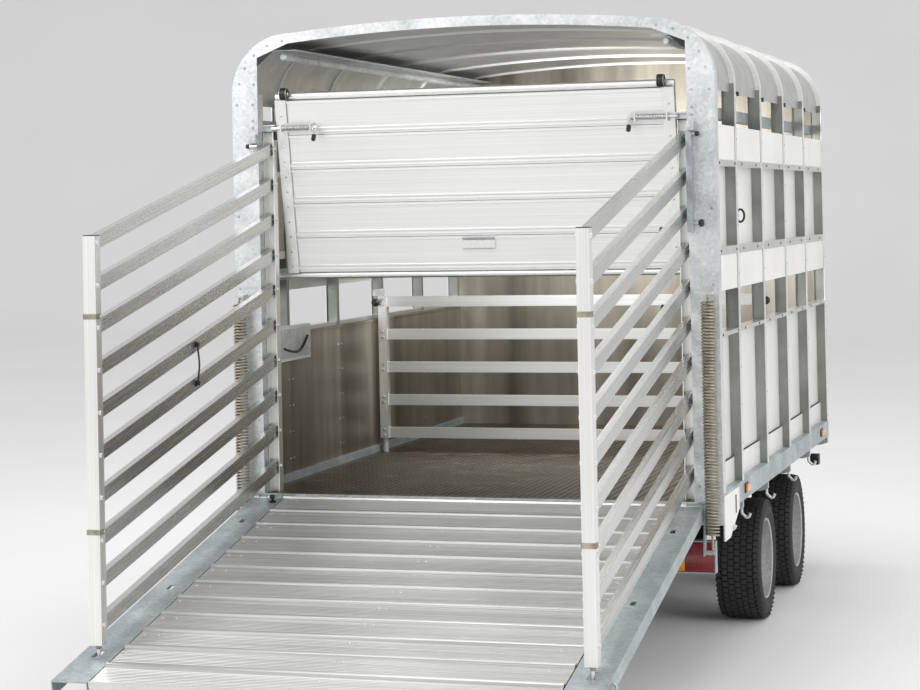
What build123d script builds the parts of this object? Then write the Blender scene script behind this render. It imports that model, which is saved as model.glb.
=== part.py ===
"""Twin-axle livestock trailer with a spring-assisted loading ramp and ramp gates.

Millimetres, +Z up, +Y towards the drawbar, +X to the right seen from behind.
Each sub-part is drawn from the rear face of the rear portal (Y = 0) and from the ground
(Z = 0), and is shifted along Y when it is written, so that the origin of the finished
trailer lies on the ground under the middle of its length.
"""
import os
from math import atan2, cos, degrees, hypot, radians, sin

from build123d import *

os.makedirs("parts", exist_ok=True)

# ---------------------------------------------------------------- driving dimensions
# Body shell
BODY_WIDTH = 1950.0
FLOOR_HEIGHT = 662.0          # top of the floor above the ground
EAVE_ABOVE_FLOOR = 1840.0
CROWN_RISE = 37.0             # apex above the eaves
ROOF_CORNER_RADIUS = 240.0
BAY_COUNT = 5
BAY_PITCH = 655.6
FIRST_POST = 473.0            # centre of the rearmost side post
POST_WIDTH = 30.0
POST_DEPTH = 50.0
POST_WALL = 3.0
SHEET = 3.0
FLOOR_THICKNESS = 6.0

# Heights of the side wall's bands above the floor
SIDE_RAIL_TOP = 32.0
SIDE_RAIL_DEPTH = 78.0
KICK_TOP = 125.0
LOWER_PANEL_TOP = 618.0
SILL_RAIL_TOP = 634.0
LOWER_FLAP_BOTTOM = 793.0
LOWER_FLAP_TOP = 929.0
WAIST_RAIL_TOP = 961.0
UPPER_PANEL_TOP = 1270.0
UPPER_RAIL_TOP = 1294.0
UPPER_FLAP_TOP = 1429.0
ROOF_SHEET_BOTTOM = 1564.0

# Rear portal
PORTAL_DEPTH = 60.0
PORTAL_WALL = 4.0
PORTAL_POST_WIDTH = 109.0
PORTAL_HEADER = 40.0
GUSSET_TOP = 1747.0           # height of the gusset on the post's inner edge

# Ramp
RAMP_SLOPE = 11.2             # degrees below level where the springs hold it
RAMP_LENGTH = 1930.0
DECK_WIDTH = 1544.0
PLANK_COUNT = 12
PLANK_THICKNESS = 8.0
HINGE_BEHIND_PORTAL = 20.0
HINGE_BELOW_FLOOR = 17.0
HINGE_TUBE_RADIUS = 11.0
DECK_ABOVE_HINGE = 8.0
RAMP_FRAME_DEPTH = 45.0
RAMP_RAIL_WIDTH = 129.0
RAMP_RAIL_GAP = 4.0

# Ramp gates
GATE_BARS = 10
GATE_BAR_PITCH = 142.0
GATE_BAR_DEPTH = 48.0
GATE_BAR_WIDTH = 26.0
GATE_X = 842.0                # centre plane of each gate
GATE_HINGE_Y = 72.0
GATE_REACH = 1749.0           # hinge pivots to end pivots, measured level at rest
TOP_BAR_ABOVE_FLOOR = 1381.0
GATE_POST_WIDTH = 44.0
GATE_POST_WALL = 3.0
PIN_RADIUS = 5.0

# Upper tailgate
UPPER_GATE_WIDTH = 1620.0
UPPER_GATE_BOTTOM = 867.0
UPPER_GATE_TOP = 1595.0
UPPER_GATE_BOTTOM_Y = 200.0
UPPER_GATE_TOP_Y = 66.0
UPPER_GATE_PLANKS = 5
UPPER_GATE_THICKNESS = 30.0

# Division gate
DIVISION_Y = 1650.0
DIVISION_BOTTOM = 64.0
DIVISION_BARS = 5
DIVISION_PITCH = 152.0
DIVISION_HALF_WIDTH = 896.0

# Running gear
TYRE_DIAMETER = 514.0
TYRE_WIDTH = 195.0
RIM_DIAMETER = 337.0
WHEEL_FACE = 930.0            # outer sidewall from the centre line
REAR_AXLE = 1372.0
AXLE_SPACING = 930.0
AXLE_BEAM = 60.0
SPINDLE_RADIUS = 30.0

# Chassis and drawbar
LONGITUDINAL_X = 600.0
LONGITUDINAL_WIDTH = 60.0
LONGITUDINAL_DEPTH = 100.0
CROSS_MEMBER_DEPTH = 80.0
DRAWBAR_LENGTH = 1150.0       # body front to coupling centre
DRAWBAR_DEPTH = 80.0
BALL_SOCKET_RADIUS = 25.3
JOCKEY_WHEEL_RADIUS = 100.0

# Fits
RUNNING = 0.05                # radial running clearance
GAP = 0.3                     # between pieces that move past each other

# ---------------------------------------------------------------- worked-out places
HALF = BODY_WIDTH / 2
INNER_HALF = HALF - POST_DEPTH - 20.0
POSTS = [FIRST_POST + BAY_PITCH * i for i in range(BAY_COUNT)]
BODY_FRONT = POSTS[-1] + POST_WIDTH / 2
CORNER_X = HALF - ROOF_CORNER_RADIUS
CORNER_Z = EAVE_ABOVE_FLOOR - ROOF_CORNER_RADIUS
SLOPE = radians(RAMP_SLOPE)
HINGE_Y = -HINGE_BEHIND_PORTAL
HINGE_Z = FLOOR_HEIGHT - HINGE_BELOW_FLOOR
AXLES = [REAR_AXLE, REAR_AXLE + AXLE_SPACING]
WHEEL_Z = TYRE_DIAMETER / 2
WHEEL_X = WHEEL_FACE - TYRE_WIDTH / 2
COUPLING_Y = BODY_FRONT + DRAWBAR_LENGTH
SIDES = (("left", -1), ("right", 1))

pieces = {}


# ---------------------------------------------------------------- helpers
def up(z):
    """A height above the floor as a height above the ground."""
    return FLOOR_HEIGHT + z


def block(x, y, z, mode=Mode.ADD):
    """A box between two faces in each direction."""
    with Locations(((x[0] + x[1]) / 2, (y[0] + y[1]) / 2, (z[0] + z[1]) / 2)):
        Box(abs(x[1] - x[0]), abs(y[1] - y[0]), abs(z[1] - z[0]), mode=mode)


def sides(side, near, far):
    """The two X faces of a block that lies between near and far on one side."""
    return (side * near, side * far)


def across(y):
    """A plane that faces the rear at y: its first axis is X and its second is Z."""
    return Plane.XZ.offset(-y)


def along(x):
    """A plane that faces +X at x: its first axis is Y and its second is Z."""
    return Plane.YZ.offset(x)


def tube(x, y, z, wall, axis):
    """A rectangular tube along an axis, open at both ends."""
    block(x, y, z)
    shrink = {"x": (0, 1, 1), "y": (1, 0, 1), "z": (1, 1, 0)}[axis]
    cut = [(min(p) + wall * s, max(p) - wall * s) for p, s in zip((x, y, z), shrink)]
    block(*cut, mode=Mode.SUBTRACT)


def rod(start, end, radius, mode=Mode.ADD):
    """A round bar from one point to another."""
    direction = Vector(*end) - Vector(*start)
    plane = Plane(origin=start, z_dir=direction.normalized())
    with BuildSketch(plane) as disc:
        Circle(radius)
    extrude(disc.sketch, amount=direction.length, mode=mode)


def polygon_prism(plane, points, depth, mode=Mode.ADD):
    """A closed outline on a plane, pulled out by depth along the plane's normal."""
    with BuildSketch(plane) as outline:
        with BuildLine():
            Polyline(*points, close=True)
        make_face()
    extrude(outline.sketch, amount=depth, mode=mode)


def keep(name, piece):
    """Hold a finished sub-part until all of them are placed."""
    pieces[name] = piece.part


def keep_together(name, *parts):
    """Hold several bodies of one sub-part, such as a post and the bolts through it."""
    pieces[name] = Compound(children=[solid for piece in parts for solid in piece.part.solids()])


# ---------------------------------------------------------------- chassis
CROSS_TOP = FLOOR_HEIGHT - FLOOR_THICKNESS
CROSS_BOTTOM = CROSS_TOP - CROSS_MEMBER_DEPTH
RAIL_TOP = up(SIDE_RAIL_TOP)
RAIL_BOTTOM = RAIL_TOP - SIDE_RAIL_DEPTH
SPRING_EYE_Z = 400.0
SPRING_HALF = 400.0
LEAF_WIDTH = 56.0
HANGER_PLATE = 6.0
CROSS_END = HALF - 40.0
REAR_PLATE = 170.0            # length and drop of the plate below each rail's rear end
REAR_PLATE_DROP = 100.0

with BuildPart() as chassis_frame:
    for side in (-1, 1):
        tube(sides(side, LONGITUDINAL_X - LONGITUDINAL_WIDTH / 2, LONGITUDINAL_X + LONGITUDINAL_WIDTH / 2),
             (30, BODY_FRONT), (CROSS_BOTTOM - LONGITUDINAL_DEPTH, CROSS_BOTTOM), 4, "y")
        for axle in AXLES:
            for end in (-1, 1):
                y = axle + end * (SPRING_HALF + 4)
                for face in (-1, 1):
                    near = side * LONGITUDINAL_X + face * (LEAF_WIDTH / 2 + GAP)
                    block((near, near + face * HANGER_PLATE), (y - 25, y + 25),
                          (SPRING_EYE_Z - 30, CROSS_BOTTOM - LONGITUDINAL_DEPTH))
    for y in [45.0] + POSTS[:-1] + [POSTS[-1] - 20]:
        tube((-CROSS_END, CROSS_END), (y - 22, y + 22), (CROSS_BOTTOM, CROSS_TOP), 3, "x")
keep("chassis_frame", chassis_frame)

with BuildPart() as side_rails:
    for side in (-1, 1):
        block(sides(side, HALF - SHEET, HALF), (PORTAL_WALL, BODY_FRONT), (RAIL_BOTTOM, RAIL_TOP))
        block(sides(side, INNER_HALF, HALF - SHEET), (PORTAL_DEPTH, BODY_FRONT),
              (RAIL_TOP - SHEET, RAIL_TOP))
        block(sides(side, CROSS_END + GAP, HALF - SHEET), (PORTAL_WALL, BODY_FRONT),
              (RAIL_BOTTOM, RAIL_BOTTOM + SHEET))
        block(sides(side, INNER_HALF, INNER_HALF + SHEET), (PORTAL_DEPTH, BODY_FRONT),
              (up(0), RAIL_TOP - SHEET))
        block(sides(side, HALF - SHEET, HALF), (PORTAL_WALL, REAR_PLATE),
              (RAIL_BOTTOM - REAR_PLATE_DROP, RAIL_BOTTOM))
        for y in POSTS:
            polygon_prism(across(y + 15), [(side * CROSS_END, CROSS_TOP),
                                           (side * (HALF - SHEET), RAIL_BOTTOM + SHEET),
                                           (side * (HALF - SHEET),
                                            RAIL_BOTTOM - 30), (side * (HALF - 30), CROSS_BOTTOM),
                                           (side * CROSS_END, CROSS_BOTTOM)], 30)
keep("side_rails", side_rails)

with BuildPart() as floor_plate:
    block((-INNER_HALF - SHEET, INNER_HALF + SHEET), (PORTAL_WALL, BODY_FRONT), (CROSS_TOP, FLOOR_HEIGHT))
keep("floor_plate", floor_plate)

# ---------------------------------------------------------------- rear portal
INNER_PORTAL = HALF - PORTAL_POST_WIDTH
PORTAL_BASE = CROSS_BOTTOM
HEADER_Z = EAVE_ABOVE_FLOOR - PORTAL_HEADER


def roof_line(x, inset=0.0):
    """Height above the floor of the crown's outer line at x, less an inset."""
    return EAVE_ABOVE_FLOOR - inset + CROWN_RISE * (1 - (x / CORNER_X) ** 2)


def corner_point(turn, inset=0.0):
    """A point on the right-hand roof corner; turn is 0 at the wall and 90 at the crown."""
    radius = ROOF_CORNER_RADIUS - inset
    return (CORNER_X + radius * cos(radians(turn)), up(CORNER_Z + radius * sin(radians(turn))))


def flip(points, side):
    """The same points on the chosen side of the centre line."""
    return [(side * point[0], point[1]) for point in points]


def band_between(outer_arc, inner_arc, start, end):
    """A curved band between two arcs across the trailer, from start to end along it."""
    with BuildSketch(across(start)) as band:
        with BuildLine():
            a = ThreePointArc(*outer_arc)
            b = ThreePointArc(*inner_arc)
            Line(a @ 0, b @ 0)
            Line(a @ 1, b @ 1)
        make_face()
    extrude(band.sketch, amount=end - start, dir=(0, 1, 0))


def corner_band(side, outer, inner, start, end):
    """A band round one roof corner, between two insets."""
    arcs = [flip([corner_point(t, inset) for t in (0, 45, 90)], side) for inset in (outer, inner)]
    band_between(*arcs, start, end)


def crown_band(outer, inner, start, end):
    """A band across the crown of the roof, between two insets."""
    arcs = [[(x, up(roof_line(x, inset))) for x in (-CORNER_X, 0, CORNER_X)] for inset in (outer, inner)]
    band_between(*arcs, start, end)


GUSSET_INNER = [(INNER_PORTAL, up(CORNER_Z)), (INNER_PORTAL, up(GUSSET_TOP)),
                (CORNER_X, up(roof_line(CORNER_X, PORTAL_HEADER)))]

with BuildPart() as portal_frame:
    for side in (-1, 1):
        outer_x, inner_x = side * HALF, side * INNER_PORTAL
        block((inner_x, outer_x), (0, PORTAL_WALL), (PORTAL_BASE, up(CORNER_Z)))
        block(sides(side, INNER_PORTAL, INNER_PORTAL + PORTAL_WALL), (PORTAL_WALL, PORTAL_DEPTH),
              (up(0), up(CORNER_Z)))
        block(sides(side, HALF - PORTAL_WALL, HALF), (PORTAL_WALL, PORTAL_DEPTH), (RAIL_TOP, up(CORNER_Z)))
    for side in (-1, 1):
        with BuildSketch(across(0)) as gusset:
            with BuildLine():
                arc = ThreePointArc(*flip([corner_point(t) for t in (0, 45, 90)], side))
                Polyline(arc @ 1, *flip(GUSSET_INNER[::-1], side), arc @ 0)
            make_face()
        extrude(gusset.sketch, amount=PORTAL_WALL, dir=(0, 1, 0))
        corner_band(side, 0, PORTAL_WALL, PORTAL_WALL, PORTAL_DEPTH)
    block((-INNER_PORTAL, INNER_PORTAL), (0, PORTAL_WALL), (PORTAL_BASE, up(0)))
    crown_band(0, PORTAL_HEADER, 0, PORTAL_WALL)
    crown_band(0, PORTAL_WALL, PORTAL_WALL, PORTAL_DEPTH)
keep("portal_frame", portal_frame)

# ---------------------------------------------------------------- posts, bows and roof
with BuildPart() as side_posts:
    for side in (-1, 1):
        for y in POSTS:
            block(sides(side, HALF - POST_WALL, HALF), (y - POST_WIDTH / 2, y + POST_WIDTH / 2),
                  (RAIL_TOP, up(CORNER_Z)))
            block(sides(side, HALF - POST_DEPTH, HALF - POST_WALL), (y - POST_WALL, y + POST_WALL),
                  (RAIL_TOP, up(CORNER_Z)))
            block(sides(side, HALF - POST_DEPTH - POST_WALL, HALF - POST_DEPTH),
                  (y - POST_WIDTH / 2, y + POST_WIDTH / 2), (RAIL_TOP, up(CORNER_Z)))
keep("side_posts", side_posts)

BOW_DEPTH = 34.0

with BuildPart() as roof_bows:
    for y in POSTS:
        flange, web = POST_WIDTH / 2, POST_WALL
        for side in (-1, 1):
            corner_band(side, 0, POST_WALL, y - flange, y + flange)
            corner_band(side, POST_WALL, BOW_DEPTH, y - web, y + web)
        crown_band(0, POST_WALL, y - flange, y + flange)
        crown_band(POST_WALL, BOW_DEPTH, y - web, y + web)
keep("roof_bows", roof_bows)

ROOF_INSET = 22.0
ROOF_SHEET = 2.0
BAYS = list(zip([PORTAL_DEPTH + GAP] + [y + POST_WALL + GAP for y in POSTS[:-1]],
                [y - POST_WALL - GAP for y in POSTS]))

with BuildPart() as roof_skin:
    for start, end in BAYS:
        for side in (-1, 1):
            corner_band(side, ROOF_INSET, ROOF_INSET + ROOF_SHEET, start, end)
            block(sides(side, HALF - ROOF_INSET - ROOF_SHEET, HALF - ROOF_INSET), (start, end),
                  (up(ROOF_SHEET_BOTTOM), up(CORNER_Z)))
        crown_band(ROOF_INSET, ROOF_INSET + ROOF_SHEET, start, end)
keep("roof_skin", roof_skin)

# ---------------------------------------------------------------- side walls
PANEL_OUT = HALF - POST_DEPTH
KICK_OUT = HALF - 34.0

with BuildPart() as wall_panels:
    for side in (-1, 1):
        for start, end in BAYS:
            for low, high, out in ((SIDE_RAIL_TOP, KICK_TOP, KICK_OUT),
                                   (KICK_TOP, LOWER_PANEL_TOP, PANEL_OUT + SHEET + 1),
                                   (WAIST_RAIL_TOP, UPPER_PANEL_TOP, PANEL_OUT + SHEET + 1)):
                block(sides(side, out - SHEET, out), (start, end), (up(low), up(high)))
keep("wall_panels", wall_panels)

with BuildPart() as wall_rails:
    for side in (-1, 1):
        for start, end in BAYS:
            for low, high in ((LOWER_PANEL_TOP, SILL_RAIL_TOP), (LOWER_FLAP_TOP, WAIST_RAIL_TOP),
                              (UPPER_PANEL_TOP, UPPER_RAIL_TOP)):
                tube(sides(side, PANEL_OUT, HALF - SHEET), (start, end), (up(low), up(high)), SHEET, "y")
keep("wall_rails", wall_rails)

FLAP_OUT = HALF - 4.0
FLAP_IN = FLAP_OUT - SHEET
FLAP_SIDE_GAP = 14.0
FLAP_HINGE_X = HALF - 2.0


def flap_row(side, low, high, hinge_at_top):
    """One row of vent flaps, each with a hinge wire along the edge that it turns on."""
    hinge_z = up(high if hinge_at_top else low)
    for start, end in BAYS:
        block(sides(side, FLAP_IN, FLAP_OUT), (start + FLAP_SIDE_GAP, end - FLAP_SIDE_GAP),
              (up(low) + GAP, up(high) - GAP))
        for y in (start + 80, (start + end) / 2, end - 80):
            block(sides(side, FLAP_OUT, FLAP_HINGE_X), (y - 15, y + 15),
                  (hinge_z + GAP, hinge_z + GAP + 8) if not hinge_at_top else (hinge_z - GAP - 8,
                                                                               hinge_z - GAP))


for name, side in SIDES:
    with BuildPart() as upper_flaps:
        flap_row(side, UPPER_RAIL_TOP, UPPER_FLAP_TOP, hinge_at_top=False)
    keep(f"{name}_upper_flaps", upper_flaps)
    with BuildPart() as lower_flaps:
        flap_row(side, LOWER_FLAP_BOTTOM, LOWER_FLAP_TOP, hinge_at_top=True)
    keep(f"{name}_lower_flaps", lower_flaps)

BULKHEAD_Y = POSTS[-1] + POST_WALL + GAP
BULKHEAD_SHEET = 4.0
BULKHEAD_INSET = BOW_DEPTH + GAP

with BuildPart() as front_bulkhead:
    low_half, high_half = INNER_HALF - GAP, HALF - POST_DEPTH - POST_WALL - GAP
    foot = [(low_half, up(0)), (low_half, RAIL_TOP + GAP), (high_half, RAIL_TOP + GAP),
            (high_half, up(CORNER_Z))]
    with BuildSketch(across(BULKHEAD_Y)) as sheet:
        with BuildLine():
            right = ThreePointArc(*[corner_point(t, BULKHEAD_INSET) for t in (0, 45, 90)])
            eaves = [(side * CORNER_X, up(roof_line(CORNER_X, BULKHEAD_INSET))) for side in (1, -1)]
            ThreePointArc(eaves[0], (0, up(roof_line(0, BULKHEAD_INSET))), eaves[1])
            left = ThreePointArc(*flip([corner_point(t, BULKHEAD_INSET) for t in (90, 45, 0)], -1))
            Polyline(left @ 1, *flip(foot[::-1], -1), *foot, right @ 0)
        make_face()
    extrude(sheet.sketch, amount=BULKHEAD_SHEET, dir=(0, 1, 0))
keep("front_bulkhead", front_bulkhead)

# ---------------------------------------------------------------- ramp
DECK_HALF = DECK_WIDTH / 2
PLANK_PITCH = RAMP_LENGTH / PLANK_COUNT
KNUCKLE_RADIUS = 16.0


def ramp_plane(x):
    """A plane facing +X whose first axis runs down the ramp and whose second stands on it."""
    down = Vector(0, -cos(SLOPE), -sin(SLOPE))
    return Plane(origin=(x, HINGE_Y, HINGE_Z), x_dir=down, z_dir=(1, 0, 0))


def ramp_prism(x_low, x_high, points, mode=Mode.ADD):
    """An outline given as (distance down the ramp, height off the hinge line)."""
    plane = ramp_plane(x_low)
    signed = [(s, -h) for s, h in points]
    polygon_prism(plane, signed, x_high - x_low, mode)


def ramp_box(x_low, x_high, s_low, s_high, h_low, h_high, mode=Mode.ADD):
    ramp_prism(x_low, x_high, [(s_low, h_low), (s_high, h_low), (s_high, h_high), (s_low, h_high)], mode)


PLANK_BOTTOM = DECK_ABOVE_HINGE - PLANK_THICKNESS
NOSE = 9.0
NOSE_LENGTH = 22.0

with BuildPart() as ramp_planks:
    for i in range(PLANK_COUNT):
        start = max(i * PLANK_PITCH, KNUCKLE_RADIUS + 4)
        end = (i + 1) * PLANK_PITCH - 3
        outline = [(start, PLANK_BOTTOM), (end, PLANK_BOTTOM), (end, DECK_ABOVE_HINGE - 2),
                   (start + NOSE_LENGTH + 10, DECK_ABOVE_HINGE), (start + NOSE_LENGTH,
                                                                  DECK_ABOVE_HINGE + NOSE),
                   (start, DECK_ABOVE_HINGE + NOSE - 3)]
        ramp_prism(-DECK_HALF, DECK_HALF, outline)
keep("ramp_planks", ramp_planks)

FRAME_LOW = -RAMP_FRAME_DEPTH + PLANK_BOTTOM
BEAM = 40.0                   # width of the deck's lengthwise beams
BEAM_WALL = 4.0
RAIL_NEAR = DECK_HALF + RAMP_RAIL_GAP
RAIL_FAR = RAIL_NEAR + RAMP_RAIL_WIDTH

with BuildPart() as ramp_frame:
    for x in (-DECK_HALF + 2, -BEAM / 2, DECK_HALF - BEAM - 2):
        ramp_box(x, x + BEAM, 22, RAMP_LENGTH, FRAME_LOW, PLANK_BOTTOM)
        ramp_box(x + BEAM_WALL, x + BEAM - BEAM_WALL, 26, RAMP_LENGTH - 4, FRAME_LOW,
                 PLANK_BOTTOM - BEAM_WALL, Mode.SUBTRACT)
        ramp_box(x + 2, x + BEAM - 2, 10, 30, -14, PLANK_BOTTOM - BEAM_WALL)
        rod((x + 2, HINGE_Y, HINGE_Z), (x + BEAM - 2, HINGE_Y, HINGE_Z), KNUCKLE_RADIUS)
        rod((x, HINGE_Y, HINGE_Z), (x + BEAM, HINGE_Y, HINGE_Z), HINGE_TUBE_RADIUS, Mode.SUBTRACT)
    ramp_box(-DECK_HALF, DECK_HALF, RAMP_LENGTH, RAMP_LENGTH + 4, FRAME_LOW, DECK_ABOVE_HINGE + 4)
keep("ramp_frame", ramp_frame)

# The hinge tube turns with the deck, and its ends carry the levers that the springs pull on.
SPRING_X = 940.0
SPRING_Y = -50.0
LEVER_LENGTH = 165.0
LEVER_WALL = 6.0
LEVER_RADIUS = 9.0
LEVER_INNER = RAIL_FAR + 2 * GAP
LEVER_OUTER = LEVER_INNER + LEVER_WALL

with BuildPart() as hinge_tube:
    rod((-LEVER_OUTER, HINGE_Y, HINGE_Z), (LEVER_OUTER, HINGE_Y, HINGE_Z), HINGE_TUBE_RADIUS)
    for side in (-1, 1):
        inner, outer = side * LEVER_INNER, side * LEVER_OUTER
        foot = (SPRING_Y, HINGE_Z - LEVER_LENGTH)
        rod((inner, HINGE_Y, HINGE_Z), (outer, HINGE_Y, HINGE_Z), KNUCKLE_RADIUS)
        polygon_prism(along(min(inner, outer)),
                      [(HINGE_Y - KNUCKLE_RADIUS, HINGE_Z), (HINGE_Y + KNUCKLE_RADIUS, HINGE_Z),
                       (foot[0] + 14, foot[1] - 12), (foot[0] - 14, foot[1] - 12)], LEVER_WALL)
        rod((inner, *foot), (side * (SPRING_X + 12), *foot), LEVER_RADIUS)
keep("hinge_tube", hinge_tube)

# ---------------------------------------------------------------- ramp gates
RAIL_WALL = 4.0
FOOT_PIN = 6.0
GATE_DROP = GATE_REACH * sin(SLOPE) / cos(SLOPE)
END_POST_Y = GATE_HINGE_Y - GATE_REACH
PIVOT_HEIGHTS = [up(TOP_BAR_ABOVE_FLOOR - GATE_BAR_PITCH * k) for k in range(GATE_BARS)]
END_POST_LOW = PIVOT_HEIGHTS[-1] - GATE_DROP - 64.0
END_POST_HIGH = PIVOT_HEIGHTS[0] - GATE_DROP + 25.0
BAR_END = 10.0
HINGE_POST_TOP = 1448.0
BOLT_HEAD = 8.0


def gate_bolts(side, y, heights):
    """A bolt through both flanges of a gate post for every bar."""
    reach = GATE_POST_WIDTH / 2
    for z in heights:
        for low, high, radius in ((-reach, reach, PIN_RADIUS), (reach, reach + 5, BOLT_HEAD),
                                  (-reach - 5, -reach, BOLT_HEAD)):
            rod((side * GATE_X + low, y, z), (side * GATE_X + high, y, z), radius)


def gate_post(side, y, low, high, web, heights):
    """A channel whose web faces web (+1 forward, -1 rear), bored for the bars' bolts."""
    half = GATE_POST_WIDTH / 2
    x = side * GATE_X
    block((x - half, x + half), (y - half, y + half), (low, high))
    cut = (y - half + GATE_POST_WALL, y + half) if web < 0 else (y - half, y + half - GATE_POST_WALL)
    block((x - half + GATE_POST_WALL, x + half - GATE_POST_WALL), cut, (low - 1, high + 1), Mode.SUBTRACT)
    for z in heights:
        rod((x - half - 1, y, z), (x + half + 1, y, z), PIN_RADIUS + RUNNING, Mode.SUBTRACT)


for name, side in SIDES:
    with BuildPart() as gate_rail:
        x_low, x_high = sorted(sides(side, RAIL_NEAR, RAIL_FAR))
        ramp_box(x_low, x_high, 22, RAMP_LENGTH + 4, FRAME_LOW, DECK_ABOVE_HINGE)
        ramp_box(x_low + RAIL_WALL, x_high - RAIL_WALL, 23 + RAIL_WALL, RAMP_LENGTH + 5, FRAME_LOW,
                 DECK_ABOVE_HINGE - RAIL_WALL, Mode.SUBTRACT)
        foot_at = (HINGE_Y - END_POST_Y) / cos(SLOPE)
        for s, half_x, half_s in ((foot_at, 14, 32), (foot_at * 0.62, 10, 22), (foot_at * 0.18, 10, 22)):
            x = side * GATE_X
            ramp_box(x - half_x, x + half_x, s - half_s, s + half_s, DECK_ABOVE_HINGE - 2 * RAIL_WALL,
                     DECK_ABOVE_HINGE + 1, Mode.SUBTRACT)
        for x in (x_low + 5, x_high - 25):
            ramp_box(x, x + 20, 10, 24, -14, -4)
            rod((x, HINGE_Y, HINGE_Z), (x + 20, HINGE_Y, HINGE_Z), KNUCKLE_RADIUS)
            rod((x - 1, HINGE_Y, HINGE_Z), (x + 21, HINGE_Y, HINGE_Z), HINGE_TUBE_RADIUS + RUNNING,
                Mode.SUBTRACT)
    keep(f"{name}_gate_rail", gate_rail)

    with BuildPart() as hinge_post:
        gate_post(side, GATE_HINGE_Y, up(0), up(HINGE_POST_TOP), 1, PIVOT_HEIGHTS)
    with BuildPart() as hinge_bolts:
        gate_bolts(side, GATE_HINGE_Y, PIVOT_HEIGHTS)
    keep_together(f"{name}_hinge_post", hinge_post, hinge_bolts)

    end_heights = [z - GATE_DROP for z in PIVOT_HEIGHTS]
    with BuildPart() as end_post:
        gate_post(side, END_POST_Y, END_POST_LOW, END_POST_HIGH, -1, end_heights)
        block((side * GATE_X - 20, side * GATE_X + 20), (END_POST_Y - 19, END_POST_Y + 16),
              (END_POST_LOW, END_POST_LOW + 6))
        rod((side * GATE_X, END_POST_Y, END_POST_LOW), (side * GATE_X, END_POST_Y, END_POST_LOW - 42),
            FOOT_PIN)
    with BuildPart() as end_bolts:
        gate_bolts(side, END_POST_Y, end_heights)
    keep_together(f"{name}_end_post", end_post, end_bolts)

BAR_LENGTH = GATE_REACH / cos(SLOPE)
for k, z in enumerate(PIVOT_HEIGHTS):
    with BuildPart() as gate_bars:
        for side in (-1, 1):
            x_low = side * GATE_X - GATE_BAR_WIDTH / 2
            plane = Plane(origin=(x_low, GATE_HINGE_Y, z), x_dir=(0, -cos(SLOPE), -sin(SLOPE)),
                          z_dir=(1, 0, 0))
            with BuildSketch(plane):
                with Locations((BAR_LENGTH / 2, 0)):
                    Rectangle(BAR_LENGTH + 2 * BAR_END, GATE_BAR_DEPTH)
            extrude(amount=GATE_BAR_WIDTH)
            with BuildSketch(plane.offset(3)):
                with Locations((BAR_LENGTH / 2, 0)):
                    Rectangle(BAR_LENGTH - 60, GATE_BAR_DEPTH - 6)
            extrude(amount=GATE_BAR_WIDTH - 6, mode=Mode.SUBTRACT)
            with BuildSketch(plane.offset(-1)):
                with Locations((0, 0), (BAR_LENGTH, 0)):
                    Circle(PIN_RADIUS + RUNNING)
            extrude(amount=GATE_BAR_WIDTH + 2, mode=Mode.SUBTRACT)
    keep(f"gate_bars_{k + 1}", gate_bars)

# ---------------------------------------------------------------- upper tailgate
UPPER_LEAN = atan2(UPPER_GATE_BOTTOM_Y - UPPER_GATE_TOP_Y, UPPER_GATE_TOP - UPPER_GATE_BOTTOM)
UPPER_LENGTH = hypot(UPPER_GATE_BOTTOM_Y - UPPER_GATE_TOP_Y, UPPER_GATE_TOP - UPPER_GATE_BOTTOM)
UPPER_HALF = UPPER_GATE_WIDTH / 2
UPPER_FACE = UPPER_GATE_THICKNESS / 2
PIVOT_ROD_RADIUS = 8.0
ROLLER_RADIUS = 24.0
BRACKET_NEAR = INNER_PORTAL + PORTAL_WALL


def upper_plane(x):
    """A plane facing +X: first axis up the leaning tailgate, second axis out of its rear face."""
    rise = Vector(0, -sin(UPPER_LEAN), cos(UPPER_LEAN))
    return Plane(origin=(x, UPPER_GATE_BOTTOM_Y, up(UPPER_GATE_BOTTOM)), x_dir=rise, z_dir=(1, 0, 0))


def upper_point(x, s, n):
    """The place of a point s up the tailgate and n out of its middle plane."""
    y = UPPER_GATE_BOTTOM_Y - s * sin(UPPER_LEAN) - n * cos(UPPER_LEAN)
    return (x, y, up(UPPER_GATE_BOTTOM) + s * cos(UPPER_LEAN) - n * sin(UPPER_LEAN))


def upper_box(x_low, x_high, s_low, s_high, n_low, n_high, mode=Mode.ADD):
    outline = [(s_low, n_low), (s_high, n_low), (s_high, n_high), (s_low, n_high)]
    polygon_prism(upper_plane(x_low), outline, x_high - x_low, mode)


UPPER_FIRST = 16.0
UPPER_PLANK = (UPPER_LENGTH - UPPER_FIRST - 20.0) / UPPER_GATE_PLANKS
RIB = 5.0

with BuildPart() as upper_gate_planks:
    for i in range(UPPER_GATE_PLANKS):
        low, high = UPPER_FIRST + i * UPPER_PLANK, UPPER_FIRST + (i + 1) * UPPER_PLANK - GAP
        outline = [(low, -UPPER_FACE), (high, -UPPER_FACE), (high, UPPER_FACE + RIB),
                   (high - 8, UPPER_FACE + RIB),
                   (high - 12, UPPER_FACE), (low + 26, UPPER_FACE), (low + 22, UPPER_FACE + RIB),
                   (low + 12, UPPER_FACE + RIB), (low + 8, UPPER_FACE), (low, UPPER_FACE)]
        polygon_prism(upper_plane(-UPPER_HALF + 6), outline, 2 * UPPER_HALF - 12)
        hollow = [(low + 4, -UPPER_FACE + 3), (high - 4, -UPPER_FACE + 3), (high - 4, UPPER_FACE - 3),
                  (low + 4, UPPER_FACE - 3)]
        polygon_prism(upper_plane(-UPPER_HALF + 5), hollow, 2 * UPPER_HALF - 10, Mode.SUBTRACT)
keep("upper_gate_planks", upper_gate_planks)

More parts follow.
